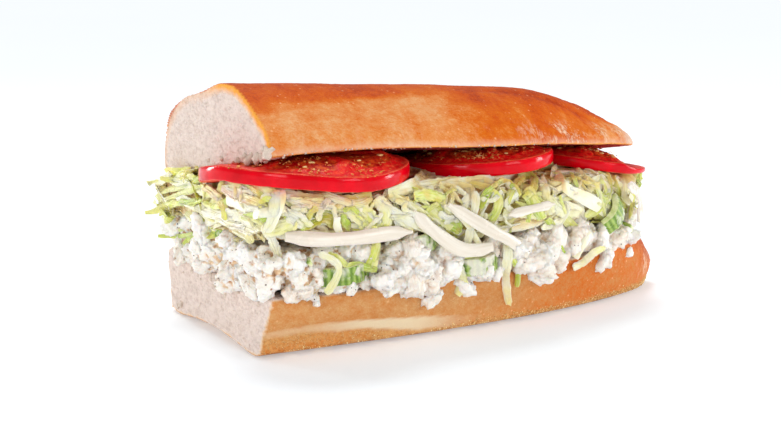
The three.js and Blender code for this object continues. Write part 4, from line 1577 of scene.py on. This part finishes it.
# %% Seeds in the pockets
SEEDS = 60
FULL_TURN = 6.28
seed_unit = ball(2)
seed_shape = points_of(seed_unit) * [1.1, 0.7, 0.35]
seed_shape[:, 1] *= 1 - 0.35 * np.clip(seed_shape[:, 0], -1, 1.35)
tomatoes = [o for o in bpy.data.objects if o.name.startswith("tomato_round")]
spots, away = [], []
for piece in tomatoes:
    p, n = points_and_normals(piece.data)
    inside = np.nonzero((kept_value(piece.data, "pocket") > 0.8) & (n[:, 2] > 0.5))[0]
    for index in dice.choice(inside, SEEDS // 3, replace=False):
        spots.append(p[index])
        away.append(n[index])
blocks = []
for spot, normal in zip(spots, away):
    turn = np.array(Matrix.Rotation(dice.uniform(0, FULL_TURN), 3, "Z"))
    blocks.append((seed_shape * MM * dice.uniform(0.85, 1.1)) @ turn + spot + normal * 0.1 * MM)
seeds = copies_of(seed_unit, blocks)
f = Finish("tomato_seed", glow=(1, 0.7, 0.3), Subsurface_Weight=0.3, Roughness=0.3)
f.set(Base_Color=f.mix(f.noise(1, 2), rgb(236, 190, 110), rgb(248, 222, 160)),
      Normal=f.bump(f.noise(0.4, 2), 0.1, 0.5))
finish_piece("tomato_seeds", seeds, [f.material])

# %% [markdown]
# ## Herbs, crumbs and semolina
# Dried herbs lie on the wet tomato as small curled flakes, from straw to brown. Crumbs torn from
# the bread lie along the cut, and grains of semolina from the baker's board stick to the lower
# edge of the heel.

# %% Herb flakes
FLAKE_CLUSTERS = [  # picture area across, down, and how many flakes
    ((228, 262), (157, 169), 60), ((296, 330), (158, 176), 44), ((350, 385), (158, 178), 40),
    ((280, 300), (155, 170), 20), ((455, 500), (145, 160), 90), ((505, 535), (144, 153), 30),
    ((582, 606), (147, 151), 24), ((604, 632), (150, 157), 26), ((415, 445), (148, 162), 26),
]
SCATTERED_FLAKES = 90
SLICES_RUN, SLICES_SIDE = (-98, 78), (-56, 44)
FLAKE_STEPS = 6
FLAKE_THICK = 0.12
ABOVE = 120
tomato_surface = surface_of("tomato_round_1", "tomato_round_2", "tomato_round_3")
spots = []
for (left, right), (top, bottom), count in FLAKE_CLUSTERS:
    for _ in range(count):
        ray = sight(dice.uniform(left, right), dice.uniform(top, bottom))
        hit, normal, _, _ = tomato_surface.ray_cast(Vector(eye), Vector(ray).normalized())
        if hit is not None and normal.z > 0.3:
            spots.append((hit, normal))
for _ in range(SCATTERED_FLAKES):
    place = Vector((dice.uniform(*SLICES_RUN), dice.uniform(*SLICES_SIDE), ABOVE)) * MM
    hit, normal, _, _ = tomato_surface.ray_cast(place, Vector((0, 0, -1)))
    if hit is not None:
        spots.append((hit, normal))
flakes = []
for hit, normal in spots:
    heading = Vector((dice.normal(), dice.normal(), 0.0)).normalized()
    length = dice.uniform(0.4, 1.5) * MM
    lift = dice.uniform(0.15, 0.7) * MM
    start = hit + normal * lift - heading * length / 2
    knots = [start, hit + normal * (lift + dice.uniform(-0.1, 0.4) * MM), start + heading * length]
    shape = {
        "cup": dice.uniform(-0.3, 0.3), "lean": dice.normal(0, 0.6), "twist": dice.normal(0, 1),
        "taper": (dice.uniform(0.2, 0.9), 0.2), "phase": dice.uniform(0, 6),
    }
    line = smooth_line([tuple(knot) for knot in knots], FLAKE_STEPS + 1)
    flakes.append((line, np.tile(np.array(normal), (len(line), 1)), dice.uniform(0.25, 0.65),
                   FLAKE_THICK, dice.random(), shape))
f = Finish("dried_herb", Roughness=0.65, Specular_IOR_Level=0.1)
straw_to_brown = f.add(f.value("tint"), f.patches(0.8, 2, 0.3, 0.7, -0.2, 0.2))
f.set(Normal=f.bump(f.noise(0.4, 3), 0.1, 0.8), Base_Color=f.ramp(straw_to_brown, [
    (0.0, 120, 62, 20), (0.25, 196, 112, 50), (0.6, 230, 146, 76), (1.0, 244, 188, 122)]))
finish_piece("herb_flakes", strips_mesh(flakes, flat_strip(FLAKE_STEPS, 2)), [f.material])

# %% Crumbs
# picture point and radius in millimetres; the fringe lies along the crown's split edge
FRONT_CRUMBS = [(246, 158, 1.4), (251, 160, 2.0), (257, 159, 1.9), (262, 157, 1.4), (268, 154, 1.7),
                (248, 163, 0.9), (265, 161, 0.8), (264, 150, 1.6), (181, 304, 1.0), (178, 306, 0.8),
                (209, 160, 0.8), (222, 159, 0.9), (238, 160, 0.9), (283, 157, 0.6)]
SCATTERED_CRUMBS = 70
BEFORE_CUT = CUT_X / MM - 20
FRINGE_CRUMBS = 60
FRINGE_FROM, FRINGE_TO = 276, 560
FRINGE_ACROSS, FRINGE_DOWN = [272, 331, 410, 552], [157.5, 150.7, 148.4, 144.6]
every_surface = surface_of(
    "crown_of_roll", "heel_of_roll", "chicken_and_dressing", "tomato_round_1")
crumb_unit = ball(2)
crumb_points = points_of(crumb_unit)
spots = [(on_surface(every_surface, [(a, d)], 0.5)[0], radius) for a, d, radius in FRONT_CRUMBS]
for _ in range(FRINGE_CRUMBS):
    across = dice.uniform(FRINGE_FROM, FRINGE_TO)
    down = np.interp(across, FRINGE_ACROSS, FRINGE_DOWN) - dice.uniform(-0.3, 1.3)
    spots.append((on_surface(every_surface, [(across, down)], 0.1)[0], dice.uniform(0.15, 0.35)))
for _ in range(SCATTERED_CRUMBS):
    place = Vector((BEFORE_CUT, dice.uniform(-40, 40), dice.uniform(14, 24))) * MM
    hit = every_surface.ray_cast(place, Vector((1, 0, 0)))[0]
    if hit is not None:
        spots.append((np.array(hit), dice.uniform(0.25, 0.7)))
blocks = []
for spot, radius in spots:
    lump = crumb_points * (1 + 0.9 * clouds(crumb_points * 2 * MM + spot * 40, 1.4, 3))[:, None]
    blocks.append((lump * dice.uniform(0.6, 1.2, 3) * radius * MM) @ random_turn() + spot)
crumbs = copies_of(crumb_unit, blocks)
f = Finish("bread_crumbs", Roughness=0.85)
f.set(Base_Color=f.mix(f.noise(1, 3), CRUMB_SHADE, rgb(250, 236, 218)),
      Normal=f.bump(f.noise(0.5, 3), 0.3, 0.8))
finish_piece("loose_crumbs", crumbs, [f.material])

# %% Semolina on the heel
SEMOLINA_GRAINS = 1500
points, normals = points_and_normals(heel)
run, rise = (points[:, 0] - CUT_X) / MM, points[:, 2] / MM
likely = hump(rise, 0, 1.6) * (0.12 + step(run, 58, 80))
likely *= (kept_value(heel, "crumb") < 0.3) & (normals[:, 2] > -0.75)
chosen = dice.choice(len(points), SEMOLINA_GRAINS, replace=False, p=likely / likely.sum())
chosen = chosen[points[chosen][:, 2] > 0.3 * MM]
semolina = sprinkle(speck_unit, points[chosen], normals[chosen], 0.16, 0.4, 0.6)
f = Finish("semolina", glow=(0.6, 0.5, 0.3), Subsurface_Weight=0.2, Roughness=0.6)
colour = f.ramp(f.noise(0.9, 2), [
    (0.35, 176, 116, 52), (0.5, 222, 176, 104), (0.65, 246, 220, 164)])
f.set(Base_Color=colour, Normal=f.bump(f.noise(0.3, 2), 0.1, 0.6))
finish_piece("semolina_grains", semolina, [f.material])
